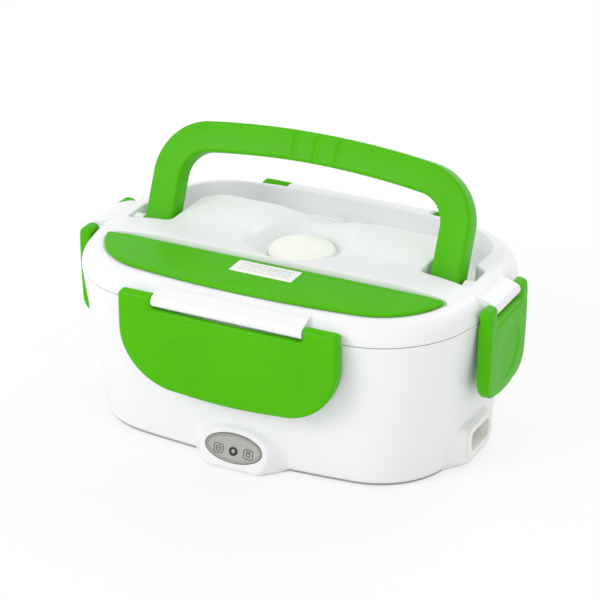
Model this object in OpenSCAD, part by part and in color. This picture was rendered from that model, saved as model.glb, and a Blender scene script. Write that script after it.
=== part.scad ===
// Electric lunch box: heated base with a removable food tray, a lift-off lid held by four
// hinged latches, a folding carry handle and a cutlery compartment in the lid.
// Millimetres. Origin on the ground under the middle, X to the right, front towards -Y, Z up.

/* [Body outline] */
// Half of the body's length at the seam between base and lid
half_length = 111; // [90:1:130]
// Half of the body's depth at the seam
half_depth = 77; // [60:0.5:95]
// Plan radius of the long front and back walls
front_r = 500; // [300:10:900]
// Plan radius of the two end walls
side_r = 145; // [125:1:220]
// Plan radius of the four corners
corner_r = 52; // [40:1:56]
// Height of the seam above the ground
seam_z = 83; // [70:0.5:100]
// Height of the base shell's lower rim above the ground
foot_gap = 2; // [1:0.5:4]
// How far the walls lean in from the seam to the ground
wall_lean = 11; // [4:0.5:14]
// Wall thickness of the base shell
shell_wall = 2.6; // [2:0.1:4]

/* [Lid] */
// Height of the flat lip around the lid
lip_z = 94; // [90:0.5:100]
// Rounding radius of the lid's outer edge
lip_r = 10; // [5:0.5:12]
// Height of the domed middle of the lid
dome_z = 98; // [95:0.5:102]
// Depth of the moat floor that the handle folds into
moat_z = 80.5; // [78:0.5:86]
// Half of the raised platform's length
platform_half = 71.5; // [60:0.5:73]
// Distance of the platform's rear edge behind the middle
platform_back = 36; // [30:0.5:42]
// Clear gap between bodies that move apart
gap = 0.3; // [0.2:0.05:0.6]

/* [Steam valve] */
// Distance of the valve behind the middle
valve_y = 2.9; // [0:0.1:6]
// Radius of the dished well at the lid's top
well_r = 27; // [22:0.5:30]
// Radius of the soft valve cap
valve_r = 17.5; // [12:0.5:20]

/* [Handle] */
// Height of the handle's arch above its pivots
handle_reach = 64.4; // [55:0.2:65]
// Half of the handle's outer width
handle_half = 90; // [80:0.5:91]
// Width of the handle's bar seen from the front
bar_w = 16; // [12:0.5:20]
// Thickness of the handle's bar
bar_t = 12; // [8:0.5:12]
// Backward tilt of the handle as drawn
handle_tilt = 24; // [0:1:30]
// Distance of the handle's pivots behind the middle
pivot_y = 1.8; // [0:0.1:5]
// Height of the handle's pivots
pivot_z = 87; // [86:0.1:89]

/* [Latches] */
// Half of the front and rear latches' width
long_latch_half = 60.5; // [50:0.5:64]
// Half of the end latches' width
short_latch_half = 24; // [18:0.5:28]
// Height of the latches' lower edge
latch_low_z = 38; // [30:0.5:50]
// Height of the latch pivots
latch_pin_z = 88; // [87:0.1:89]

/* [Cutlery cover] */
// Distance of the cover's straight rear edge in front of the middle
cover_back = 27.5; // [25:0.5:32]
// Height of the cover's top face
cover_z = 96; // [95:0.1:97]
// Inset of the cover's curved edge from the seam outline
cover_inset = 11.6; // [10:0.1:14]

/* [Hidden] */
$fn = 96;

// Where the front, end and corner arcs of the outline have their centres.
function meet(p, rp, q, rq) = let (
    d = norm(q - p),
    u = (q - p) / d,
    s = (rp * rp - rq * rq + d * d) / (2 * d),
    h = sqrt(rp * rp - s * s)
) p + s * u + h * [u[1], -u[0]];
front_c = [0, front_r - half_depth];
side_c = [half_length - side_r, 0];
corner_c = meet(side_c, side_r - corner_r, front_c, front_r - corner_r);
front_a = atan2(corner_c[0], front_c[1] - corner_c[1]);
side_a = atan2(-corner_c[1], corner_c[0] - side_c[0]);
lean = wall_lean / (seam_z - foot_gap);
function wall_at(z) = -(seam_z - z) * lean;
function arc_points(c, r, a0, a1, n) = [for (i = [0:n - 1]) let (a = a0 + (a1 - a0) * i / n)
    c + r * [cos(a), sin(a)]];
function quarter(off) = concat(
    arc_points(front_c, front_r + off, -90, -90 + front_a, 3),
    arc_points(corner_c, corner_r + off, -90 + front_a, -side_a, 10),
    arc_points(side_c, side_r + off, -side_a, 0, 3),
    [side_c + (side_r + off) * [1, 0]]
);
function flip(pts, sx, sy) = [for (p = pts) [p[0] * sx, p[1] * sy]];
function backwards(pts) = [for (i = [len(pts) - 1:-1:0]) pts[i]];
function but_last(pts) = [for (i = [0:len(pts) - 2]) pts[i]];
function half(off) = concat(but_last(quarter(off)), backwards(flip(quarter(off), 1, -1)));
function outline(off) = concat(but_last(half(off)), but_last(flip(half(off), -1, -1)));

// Corner points of a rounded rectangle, and an ellipse.
function rounded(w, h, r, n = 4) = [for (c = [0:3], i = [0:n]) let (a = 90 * c + 90 * i / n)
    [(c == 0 || c == 3 ? 1 : -1) * (w / 2 - r) + r * cos(a), (c < 2 ? 1 : -1) * (h / 2 - r) + r * sin(a)]];
function ellipse(a, b, n = 48) = [for (i = [0:n - 1]) [a * cos(360 * i / n), b * sin(360 * i / n)]];

// Puts a closed profile in counterclockwise order.
function twice_area(p, i = 0) = i == len(p) ? 0
    : p[i][0] * p[(i + 1) % len(p)][1] - p[i][1] * p[(i + 1) % len(p)][0] + twice_area(p, i + 1);
function turned(p) = twice_area(p) > 0 ? p : backwards(p);

// Lofts a closed wall profile around the outline. Each profile point is [offset from the seam
// outline, height].
module around(profile) {
    loop = turned(profile);
    n = len(outline(0));
    m = len(loop);
    polyhedron(
        points = [for (p = loop, q = outline(p[0])) [q[0], q[1], p[1]]],
        faces = [for (i = [0:m - 1], j = [0:n - 1])
            [i * n + j, ((i + 1) % m) * n + j, ((i + 1) % m) * n + (j + 1) % n, i * n + (j + 1) % n]]
    );
}

// Lofts a solid through a stack of outlines. Each ring is [offset, height], from the bottom up.
module stack(rings) {
    n = len(outline(0));
    m = len(rings);
    polyhedron(
        points = [for (p = rings, q = outline(p[0])) [q[0], q[1], p[1]]],
        faces = concat(
            [for (i = [0:m - 2], j = [0:n - 1])
                [i * n + j, (i + 1) * n + j, (i + 1) * n + (j + 1) % n, i * n + (j + 1) % n]],
            [[for (j = [0:n - 1]) j]],
            [[for (j = [n - 1:-1:0]) (m - 1) * n + j]]
        )
    );
}

// Flat plate that fills the outline, offset by off.
module slab(z0, z1, off) {
    translate([0, 0, z0])
        linear_extrude(z1 - z0)
            polygon(outline(off));
}

// Hollow column with a screw hole from below.
module screw_post(x, y, z0, z1, r) {
    translate([x, y, z0])
        cylinder(h = z1 - z0, r = r);
}

post_spots = [[-80, -30], [80, -30], [-80, 30], [80, 30]];
foot_spots = [[-66, -43], [66, -43], [-66, 43], [66, 43]];

// Base. The indicator's face leans back and looks a little upwards.
face_tilt = 76;
panel_y = -73.4;
panel_z = 12;
inlet_x = 105;
inlet_y = -6;
inlet_z = 13;

module indicator_boss() {
    intersection() {
        translate([0, panel_y - 0.6, panel_z])
            rotate([face_tilt - 180, 0, 0])
                linear_extrude(height = 14, scale = [1.55, 1.75], slices = 1)
                    polygon(ellipse(18.6, 10.4));
        translate([-60, -100, foot_gap])
            cube([120, 60, 60]);
    }
}

module inlet_boss() {
    intersection() {
        translate([inlet_x, inlet_y, foot_gap + 10])
            rotate([90, 0, -90])
                linear_extrude(height = 12, scale = [1.8, 1.25], slices = 1)
                    polygon(rounded(32, 20.6, 4));
        translate([60, -60, foot_gap])
            cube([60, 120, 60]);
    }
}

module base_shell() color([0.95, 0.95, 0.95]) {
    bottom_off = wall_at(foot_gap);
    difference() {
        union() {
            around([
                    [0, seam_z],
                    [wall_at(8), 8],
                    [wall_at(5) - 0.3, 5],
                    [wall_at(3) - 1.2, 3],
                    [bottom_off - 3, foot_gap],
                    [bottom_off - 8, foot_gap],
                    [bottom_off - 8, 4.4],
                    [wall_at(7) - shell_wall - 1, 5],
                    [wall_at(9) - shell_wall, 9],
                    [-shell_wall, seam_z]
                ]);
            difference() {
                union() {
                    indicator_boss();
                    inlet_boss();
                }
                // inside of the wall stays open
                around([[-60, 0], [bottom_off - 3, 0], [wall_at(9) - 1.6, 9], [-1.6, seam_z], [-60, seam_z]]);
            }
            // catch ribs under the four latches
            intersection() {
                around([[-1.4, 78.9], [0.9, 78.4], [0.9, 76.6], [-1.6, 75.2]]);
                union() {
                    cube([76, 300, 300], center = true);
                    cube([300, 26, 300], center = true);
                }
            }
        }
        // window for the indicator panel
        translate([0, panel_y, panel_z])
            rotate([face_tilt, 0, 0]) {
                translate([0, 0, -14])
                    cylinder(h = 30, r = 4.6);
                translate([0, 0, -0.65])
                    linear_extrude(height = 20)
                        polygon(ellipse(17, 8.9));
            }
        // pocket for the mains inlet
        translate([inlet_x - 30, inlet_y, inlet_z])
            rotate([90, 0, 90])
                linear_extrude(height = 40)
                    polygon(rounded(26.4, 14.4, 4));
    }
}

module base_liner() color([0.93, 0.93, 0.92]) {
    difference() {
        union() {
            around([
                    [wall_at(72.7) - shell_wall - 0.1, 72.7],
                    [wall_at(70.5) - shell_wall - 0.1, 70.5],
                    [-8, 70.5],
                    [-13.4, 28],
                    [-22, 28],
                    [-22, 29.5],
                    [-15, 29.5],
                    [-9.5, 72.7]
                ]);
            translate([0, 0, 28])
                linear_extrude(1.5)
                    polygon(outline(-18));
            for (p = post_spots)
                screw_post(p[0], p[1], 5.2, 28.5, 4.2);
            for (s = [-1, 1])
                translate([s * 62 - 0.8, -40, 20])
                    cube([1.6, 80, 8.5]);
        }
        translate([0, 0, 20])
            cylinder(h = 20, r = 46);
        for (p = post_spots)
            translate([p[0], p[1], 4])
                cylinder(h = 14, r = 1.5);
    }
}

module bottom_cover() color([0.9, 0.9, 0.9]) {
    difference() {
        union() {
            slab(3, 5, wall_at(foot_gap) - 8.2);
            for (x = [-45:15:45])
                translate([x - 0.7, -30, 5])
                    cube([1.4, 60, 2.5]);
        }
        for (p = post_spots) {
            translate([p[0], p[1], 0])
                cylinder(h = 10, r = 1.9);
            translate([p[0], p[1], 2])
                cylinder(h = 2, r1 = 4.2, r2 = 3.2);
        }
        for (p = foot_spots)
            translate([p[0], p[1], 0])
                cylinder(h = 4, r = 6.1);
        for (s = [-1, 1], x = [-24:6:24])
            translate([x - 1.2, s * 42 - 7, 0])
                cube([2.4, 14, 10]);
    }
}

module rubber_feet() color([0.2, 0.2, 0.2]) {
    for (p = foot_spots)
        translate([p[0], p[1], 0]) {
            cylinder(h = 1, r1 = 4.8, r2 = 5.8);
            translate([0, 0, 1])
                cylinder(h = 2.9, r = 5.8);
        }
}

module base_screws() color([0.7, 0.7, 0.72]) {
    for (p = post_spots)
        translate([p[0], p[1], 0])
            difference() {
                union() {
                    translate([0, 0, 2.6])
                        cylinder(h = 1.2, r1 = 3, r2 = 2.8);
                    translate([0, 0, 3.8])
                        cylinder(h = 12, r = 1.45);
                }
                for (a = [0, 90])
                    rotate(a)
                        translate([-1.7, -0.35, 2])
                            cube([3.4, 0.7, 1.2]);
            }
}

// Heater.
module heating_plate() color([0.78, 0.79, 0.8]) {
    difference() {
        union() {
            translate([0, 0, 29.6])
                cylinder(h = 1.2, r = 48.5);
            translate([0, 0, 26.6])
                cylinder(h = 3.2, r = 45.4);
            for (s = [-1, 1])
                translate([s * 30, 0, 22.6])
                    cylinder(h = 4.2, r = 4);
        }
        for (s = [-1, 1])
            translate([s * 30, 0, 22])
                cylinder(h = 7, r = 1.5);
        for (r = [14, 26, 38])
            translate([0, 0, 30.4])
                difference() {
                    cylinder(h = 1, r = r + 0.6);
                    translate([0, 0, -1])
                        cylinder(h = 3, r = r - 0.6);
                }
    }
}

module heater_block() color([0.85, 0.84, 0.8]) {
    translate([-20, -12, 20.4])
        cube([40, 24, 6]);
    for (s = [-1, 1])
        translate([s * 8, -12, 23.4])
            rotate([90, 0, 0])
                cylinder(h = 7, r = 1.1);
}

module heater_clamp() color([0.75, 0.76, 0.78]) {
    difference() {
        union() {
            translate([-22, -9, 18.6])
                cube([44, 18, 1.6]);
            for (s = [-1, 1]) {
                translate([s * 21.2 - 0.8, -9, 18.6])
                    cube([1.6, 18, 3.8]);
                translate([s * 29 - 8, -6, 20.9])
                    cube([16, 12, 1.5]);
            }
        }
        for (s = [-1, 1])
            translate([s * 30, 0, 18])
                cylinder(h = 6, r = 1.8);
    }
}

module clamp_screws() color([0.7, 0.7, 0.72]) {
    for (s = [-1, 1])
        translate([s * 30, 0, 0])
            difference() {
                union() {
                    translate([0, 0, 18.9])
                        cylinder(h = 1.8, r = 3);
                    translate([0, 0, 20.6])
                        cylinder(h = 7, r = 1.45);
                }
                translate([0, 0, 18])
                    cylinder(h = 1.9, r = 1.4, $fn = 6);
            }
}

module thermal_cutout() color([0.25, 0.25, 0.27]) {
    translate([-9, 22, 24.6])
        cube([18, 10, 1.9]);
    translate([0, 27, 19.6])
        cylinder(h = 5, r = 6.5);
    for (s = [-1, 1])
        translate([s * 9.5 - 2, 25.4, 21.6])
            cube([4, 3.2, 0.8]);
}

module insulation_pad() color([0.82, 0.8, 0.72]) {
    difference() {
        translate([-50, -34, 7.5])
            cube([100, 68, 4]);
        for (s = [-1, 1])
            translate([s * 62, 0, 7])
                cylinder(h = 6, r = 16);
    }
}

// Mains inlet and indicator.
module inlet_socket() color([0.93, 0.93, 0.93]) {
    translate([inlet_x, inlet_y, inlet_z])
        rotate([90, 0, 90])
            difference() {
                union() {
                    translate([0, 0, -17])
                        linear_extrude(height = 16.6)
                            polygon(rounded(26, 14, 3.8));
                    translate([0, 0, 0.05])
                        linear_extrude(height = 1.1)
                            polygon(rounded(30, 17.6, 5));
                    translate([0, 0, -1])
                        linear_extrude(height = 1.5)
                            polygon(rounded(26, 14, 3.8));
                }
                translate([0, 0, -13.6])
                    linear_extrude(height = 20)
                        polygon(rounded(22.4, 10.6, 3.4));
                for (s = [-1, 1])
                    translate([s * 6, 0, -20])
                        cylinder(h = 10, r = 1.2);
            }
}

module inlet_pins() color([0.8, 0.72, 0.4]) {
    translate([inlet_x, inlet_y, inlet_z])
        rotate([90, 0, 90])
            for (s = [-1, 1])
                translate([s * 6, 0, 0]) {
                    translate([0, 0, -24])
                        cylinder(h = 21, r = 1.2);
                    translate([0, 0, -3])
                        cylinder(h = 0.8, r1 = 1.2, r2 = 0.6);
                }
}

module inlet_leads() color([0.7, 0.1, 0.1]) {
    // two insulated leads from the inlet to the heater, each with a soft bend
    for (s = [-1, 1]) {
        translate([inlet_x - 24.2, inlet_y + s * 6, inlet_z])
            rotate([0, -90, 0])
                cylinder(h = 20, r = 1);
        translate([inlet_x - 44.2, inlet_y + s * 6 - 8, inlet_z])
            rotate(90)
                rotate_extrude(angle = 90)
                    translate([8, 0])
                        circle(r = 1);
        translate([inlet_x - 52.2, inlet_y + s * 6 - 8, inlet_z])
            rotate([90, 0, 0])
                cylinder(h = 14 - s * 4, r = 1);
    }
}

module indicator_panel() color([0.62, 0.62, 0.58]) {
    translate([0, panel_y, panel_z])
        rotate([face_tilt, 0, 0])
            difference() {
                union() {
                    translate([0, 0, -0.6])
                        linear_extrude(height = 1.1)
                            polygon(ellipse(16.8, 8.7));
                    translate([0, 0, 0.4])
                        linear_extrude(height = 0.5)
                            difference() {
                                polygon(ellipse(16.8, 8.7));
                                polygon(ellipse(15.2, 7.2));
                            }
                }
                translate([0, -1.5, -3])
                    cylinder(h = 6, r = 2.05);
                for (s = [-1, 1])
                    translate([s * 8.6, 0, 0.3])
                        linear_extrude(height = 2)
                            difference() {
                                polygon(rounded(5.6, 5.6, 1.2));
                                polygon(rounded(5, 5, 1));
                            }
            }
}

module indicator_lens() color([0.9, 0.92, 0.9]) {
    translate([0, panel_y, panel_z])
        rotate([face_tilt, 0, 0])
            translate([0, -1.5, 0]) {
                translate([0, 0, -9])
                    cylinder(h = 9.7, r = 2);
                translate([0, 0, -1.6])
                    cylinder(h = 0.9, r = 2.9);
            }
}

module indicator_board() color([0.1, 0.4, 0.2]) {
    translate([-16, -61.6, 6])
        difference() {
            cube([32, 1.6, 12]);
            for (x = [4, 28])
                translate([x, -1, 6])
                    rotate([-90, 0, 0])
                        cylinder(h = 4, r = 1.2);
        }
}

// Food containers.
module food_tray() color([0.9, 0.9, 0.88]) {
    around([
            [-5.2, 75],
            [-5.2, 72.7],
            [-6.4, 72.7],
            [-6.4, 73.4],
            [-10.5, 73.4],
            [-15.4, 36],
            [-17.6, 32.6],
            [-20.6, 31.5],
            [-26, 31.5],
            [-26, 33.3],
            [-21, 33.3],
            [-18.6, 34.2],
            [-17, 37],
            [-12.2, 75]
        ]);
    translate([0, 0, 31.5])
        linear_extrude(1.8)
            polygon(outline(-23));
    // wall between the main dish and the side dish
    intersection() {
        slab(33, 70, -17.5);
        translate([18, -100, 33])
            cube([1.8, 200, 31]);
    }
}

module side_dish_box() color([0.95, 0.95, 0.93]) {
    difference() {
        union() {
            intersection() {
                slab(34.6, 68.6, -18.9);
                translate([20.6, -100, 30])
                    cube([100, 200, 60]);
            }
            intersection() {
                slab(33.3, 35, -22.6);
                translate([22.6, -100, 30])
                    cube([100, 200, 60]);
            }
        }
        intersection() {
            slab(36, 80, -20.4);
            translate([22.1, -100, 30])
                cube([100, 200, 60]);
        }
    }
}

module side_dish_lid() color([0.3, 0.72, 0.12]) {
    difference() {
        union() {
            intersection() {
                slab(68.9, 70.5, -18.9);
                translate([20.6, -100, 30])
                    cube([100, 200, 60]);
            }
            intersection() {
                slab(66.4, 69, -20.7);
                translate([22.4, -100, 30])
                    cube([100, 200, 60]);
            }
            translate([50, -14, 70.5])
                linear_extrude(2.2)
                    polygon(rounded(6, 26, 2));
        }
        intersection() {
            slab(60, 69, -22.2);
            translate([23.9, -100, 30])
                cube([100, 200, 60]);
        }
    }
}

// Lid. Pillow-shaped upper surface of the lid's middle, rising inwards from the lip.
dome_in = [10, 15, 21, 28, 36, 45];
function dome(drop) = [for (d = dome_in) let (t = (d - 10) / 35)
    [-d, lip_z + (dome_z - lip_z) * (1 - pow(1 - t, 2)) - drop]];

module lid_blank() {
    stack(concat(
        [[-6.2, 78.5], [-6.2, seam_z + gap], [0, seam_z + gap], [0, lip_z - lip_r]],
        [for (i = [1:7]) [-lip_r + lip_r * cos(90 * i / 8), lip_z - lip_r + lip_r * sin(90 * i / 8)]],
        dome(0)
    ));
}

// Outline path of the folded handle, used for the handle and for the moat it lies in.
arch_r = 490;
bend_r = 31;
arch_c = handle_reach - arch_r;
bend_x = handle_half - bend_r;
bend_y = arch_c + sqrt(pow(arch_r - bend_r, 2) - bend_x * bend_x);
arch_a = asin(bend_x / (arch_r - bend_r));

// Path of the handle at an offset from its outer edge, from the right leg's end to the left's.
function handle_side(off, leg_end) = concat(
    [[handle_half + off, leg_end]],
    [for (i = [0:8]) let (a = (90 - arch_a) * i / 8) [bend_x, bend_y] + (bend_r + off) * [cos(a), sin(a)]],
    [for (i = [1:4]) let (a = 90 - arch_a + arch_a * i / 4) [0, arch_c] + (arch_r + off) * [cos(a), sin(a)]]
);
function handle_path(off, leg_end) = concat(
    but_last(handle_side(off, leg_end)),
    backwards(flip(handle_side(off, leg_end), -1, 1))
);

// Lofts a bar section along the handle's path. Each profile point is [offset from the outer edge,
// distance in front of the middle plane].
module along_handle(profile, leg_end) {
    loop = turned(profile);
    m = len(loop);
    n = len(handle_path(0, 0));
    polyhedron(
        points = [for (j = [0:n - 1], p = loop) let (q = handle_path(p[0], leg_end)[j]) [q[0], q[1], p[1]]],
        faces = concat(
            [for (j = [0:n - 2], i = [0:m - 1])
                [j * m + i, j * m + (i + 1) % m, (j + 1) * m + (i + 1) % m, (j + 1) * m + i]],
            [[for (i = [m - 1:-1:0]) i]],
            [[for (i = [0:m - 1]) (n - 1) * m + i]]
        )
    );
}

module platform_column(z0, z1, grow) {
    r = 14;
    translate([0, 0, z0])
        linear_extrude(z1 - z0) {
            translate([-platform_half - grow, -40])
                square([2 * (platform_half + grow), 40 + platform_back + grow - r]);
            translate([-platform_half - grow + r, -40])
                square([2 * (platform_half + grow - r), 40 + platform_back + grow]);
            for (s = [-1, 1])
                translate([s * (platform_half + grow - r), platform_back + grow - r])
                    circle(r = r);
        }
}

module moat_void() {
    difference() {
        union() {
            translate([0, pivot_y, moat_z])
                linear_extrude(30)
                    polygon(handle_path(1.2, 0));
            for (s = [-1, 1])
                translate([s * 84.6 - 13, -7.5, moat_z])
                    cube([26, 22, 30]);
        }
        difference() {
            platform_column(70, 120, 0);
            // scooped finger notch in the platform's rear edge
            translate([0, platform_back + 60, 60])
                cylinder(h = 60, r = 66);
        }
        // bosses that carry the handle's pivots
        for (s = [-1, 1])
            translate([s * 94.6, pivot_y, pivot_z])
                rotate([0, 90, 0])
                    cylinder(h = 6.4, r = 6, center = true);
    }
}

module cover_area(z0, z1, grow) {
    intersection() {
        slab(z0, z1, -cover_inset + grow);
        translate([-120, -120, z0 - 1])
            cube([240, 120 - cover_back + grow, 20]);
    }
}

// Local frame of a latch: the wall faces -Y and passes [0, -edge].
module latch_tab(edge, half, out) {
    translate([0, -edge - out, latch_pin_z])
        rotate([0, 90, 0])
            cylinder(h = 2 * half, r = 3.1, center = true);
    translate([-half, 0, 0])
        rotate([90, 0, 90])
            linear_extrude(2 * half)
                polygon([
                    [-edge - out, latch_pin_z - 3.1],
                    [-edge + 2, 84.2],
                    [-edge + 9, 84.2],
                    [-edge + 11, lip_z - 0.1],
                    [-edge + 5, lip_z - 0.6],
                    [-edge + 1, 92.6],
                    [-edge - out, latch_pin_z + 3.1]
                ]);
}

module latch_notches(edge, half, in_half, out) {
    for (s = [-1, 1])
        translate([s * (half + in_half) / 2, -edge - out, latch_pin_z])
            rotate([0, 90, 0])
                cylinder(h = half - in_half + 1, r = 3.8, center = true);
    translate([0, -edge - out, latch_pin_z])
        rotate([0, 90, 0])
            cylinder(h = 2 * in_half + 3, r = 1.3, center = true);
}

module each_latch_place() {
    children(0);
    rotate(180)
        children(0);
    rotate(90)
        children(1);
    rotate(-90)
        children(1);
}

long_ear = 42;
short_ear = 15;
long_out = 1.4;
short_out = 2.6;
long_front = 4.8;
short_front = 6.3;

module lid_top() color([0.96, 0.96, 0.96]) {
    difference() {
        union() {
            lid_blank();
            each_latch_place() {
                latch_tab(half_depth, long_ear - gap, long_out);
                latch_tab(half_length, short_ear - gap, short_out);
            }
        }
        each_latch_place() {
            latch_notches(half_depth, long_latch_half, long_ear, long_out);
            latch_notches(half_length, short_latch_half, short_ear, short_out);
        }
        moat_void();
        // hollow under the rim
        around([[-2.4, 80], [-2.4, 85], [-4.6, 89.6], [-6, 89.6], [-6, 80]]);
        // hollow under the platform
        difference() {
            intersection() {
                platform_column(78, 100, -2.4);
                translate([-80, -9.5, 78])
                    cube([160, 80, 30]);
                stack(concat([[-10, 70]], dome(2.4)));
            }
            translate([0, valve_y, 60])
                cylinder(h = 60, r = well_r + 1.6);
            translate([0, platform_back + 60, 60])
                cylinder(h = 60, r = 68.4);
        }
        // hollow under the cutlery compartment
        intersection() {
            slab(78, 82.4, -19);
            translate([-86, -100, 70])
                cube([172, 88, 30]);
        }
        // dished well for the valve
        translate([0, valve_y, 0]) {
            translate([0, 0, 88.9])
                cylinder(h = 8, r1 = 19.5, r2 = 25.5);
            translate([0, 0, 96])
                cylinder(h = 3, r1 = 24.75, r2 = well_r + 1.6);
            translate([0, 0, 70])
                cylinder(h = 30, r = 5.3);
            translate([0, 0, 78])
                cylinder(h = 8.6, r = 22);
        }
        // cutlery compartment
        cover_area(94, 100, 0.3);
        intersection() {
            slab(84.5, 96, -cover_inset - 3.6);
            translate([-120, -120, 80])
                cube([240, 120 - cover_back - 3.5, 20]);
        }
        translate([-96, -cover_back - 2.2, 94.6])
            rotate([0, 90, 0])
                cylinder(h = 192, r = 2.6);
        translate([-98.5, -cover_back - 2.2, 94.6])
            rotate([0, 90, 0])
                cylinder(h = 197, r = 0.98);
        // bores of the handle pivots
        translate([-98.5, pivot_y, pivot_z])
            rotate([0, 90, 0])
                cylinder(h = 197, r = 2.52);
    }
}

module lid_inner() color([0.93, 0.93, 0.93]) {
    difference() {
        union() {
            slab(77, 78.4, -6.4);
            for (x = [-60:30:60])
                translate([x - 0.7, -50, 75.9])
                    cube([1.4, 100, 1.2]);
        }
        translate([0, valve_y, 70])
            cylinder(h = 20, r = 9);
    }
}

module lid_gasket() color([0.88, 0.88, 0.84]) {
    around([
            [-11.9, 76.95],
            [-6.6, 76.95],
            [-6.6, 76.1],
            [-7.6, 75.3],
            [-8.6, 75.3],
            [-9.2, 76],
            [-10, 75.3],
            [-11, 75.3],
            [-11.9, 76.1]
        ]);
}

module steam_valve() color([0.93, 0.93, 0.84]) {
    translate([0, valve_y, 0]) {
        intersection() {
            translate([0, 0, 96.9 - 29])
                sphere(r = 29);
            translate([0, 0, 90.6])
                cylinder(h = 10, r = valve_r);
        }
        translate([0, 0, 89.2])
            cylinder(h = 1.5, r = valve_r);
        translate([0, 0, 79])
            cylinder(h = 10.5, r = 5);
    }
}

// Cutlery compartment.
hinge_y = -cover_back - 2.2;
hinge_z = 94.6;

module cutlery_cover() color([0.3, 0.76, 0.11]) {
    difference() {
        union() {
            intersection() {
                cover_area(94.3, cover_z, -0.3);
                translate([-120, -120, 90])
                    cube([240, 120 + hinge_y, 20]);
            }
            translate([-94.6, hinge_y, hinge_z])
                rotate([0, 90, 0])
                    cylinder(h = 189.2, r = 1.6);
            translate([-94.6, hinge_y - 2, 93.6])
                cube([189.2, 2, 2]);
        }
        // thumb dimple at the front edge
        translate([0, -68, cover_z + 23.6])
            sphere(r = 25);
        translate([-100, hinge_y, hinge_z])
            rotate([0, 90, 0])
                cylinder(h = 200, r = 0.95);
    }
}

module cover_pins() color([0.3, 0.76, 0.11]) {
    for (s = [-1, 1])
        translate([s * 93.2, hinge_y, hinge_z])
            rotate([0, 90, 0])
                cylinder(h = 10, r = 0.9, center = true);
}

module spoon() color([0.95, 0.95, 0.95]) {
    spoon_y = -45.6;
    difference() {
        intersection() {
            translate([-44, spoon_y, 84.8 + 42])
                sphere(r = 42);
            translate([-44, spoon_y, 84.8])
                linear_extrude(6)
                    polygon(ellipse(22, 13));
        }
        translate([-44, spoon_y, 86.4 + 40])
            sphere(r = 40);
    }
    translate([-26, spoon_y - 3.6, 88.4])
        linear_extrude(2)
            polygon([[0, 0], [28, 1], [96, -0.4], [98.6, 1.2], [98.6, 6], [96, 7.6], [28, 6.2], [0, 7.2]]);
}

module write_on_label() color([0.97, 0.97, 0.96]) {
    translate([0.5, -38.7, cover_z + 0.02])
        linear_extrude(0.2)
            polygon(rounded(35, 13, 0.6));
}

// Handle.
module upright() {
    translate([0, pivot_y, pivot_z])
        rotate([90 - handle_tilt, 0, 0])
            children();
}

module carry_handle() color([0.3, 0.76, 0.11]) {
    upright()
        difference() {
            union() {
                along_handle([for (p = rounded(bar_w, bar_t, 3)) p - [bar_w / 2, 0]], 0);
                for (s = [-1, 1])
                    translate([s * (handle_half - bar_w / 2), 0, 0])
                        rotate([0, 90, 0])
                            cylinder(h = bar_w, r = bar_t / 2, center = true);
            }
            // open channel along the back of the bar, kept clear of the pivots and ribbed across
            difference() {
                along_handle([[-bar_w + 3, -bar_t], [-3, -bar_t], [-3, 2.6], [-bar_w + 3, 2.6]], 12);
                for (x = [-45:15:45])
                    translate([x - 0.8, 30, -10])
                        cube([1.6, 40, 20]);
            }
            // grip grooves on the front of the bar
            for (x = [-10, 0, 10])
                translate([x, handle_reach - 9, bar_t / 2 + 2.6])
                    rotate([90, 0, 0])
                        cylinder(h = 9, r = 3, center = true);
            translate([-100, 0, 0])
                rotate([0, 90, 0])
                    cylinder(h = 200, r = 2.56);
        }
}

module handle_pins() color([0.75, 0.75, 0.77]) {
    for (s = [-1, 1])
        translate([s * 84.2, pivot_y, pivot_z])
            rotate([0, 90, 0])
                cylinder(h = 27, r = 2.5, center = true);
}

// Latches. Side view of a latch plate's outer face, [distance beyond the seam outline, height].
ear_r = 3.4;
plate_back = 1.7;
function plate_face(front, z) = front - (z > 78 ? 0 : pow((78 - z) / 40, 2) * 1.1);

// Front view of a latch plate with round lower corners and a slightly bowed lower edge.
module latch_outline(half, r, extra) {
    h = half - extra;
    rr = r - extra;
    c = [h - rr, latch_low_z + extra + 1.5 + rr];
    linear_extrude(60)
        polygon(concat(
            [for (i = [0:10]) let (a = -90 * i / 10) c + rr * [cos(a), sin(a)]],
            [for (i = [1:5]) let (t = 1 - 2 * i / 6) [c[0] * t, c[1] - rr - 1.5 * (1 - t * t)]],
            [for (i = [0:10]) let (a = -90 - 90 * i / 10) [-c[0], c[1]] + rr * [cos(a), sin(a)]],
            [[-h, 83.6 - extra], [h, 83.6 - extra]]
        ));
}

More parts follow.
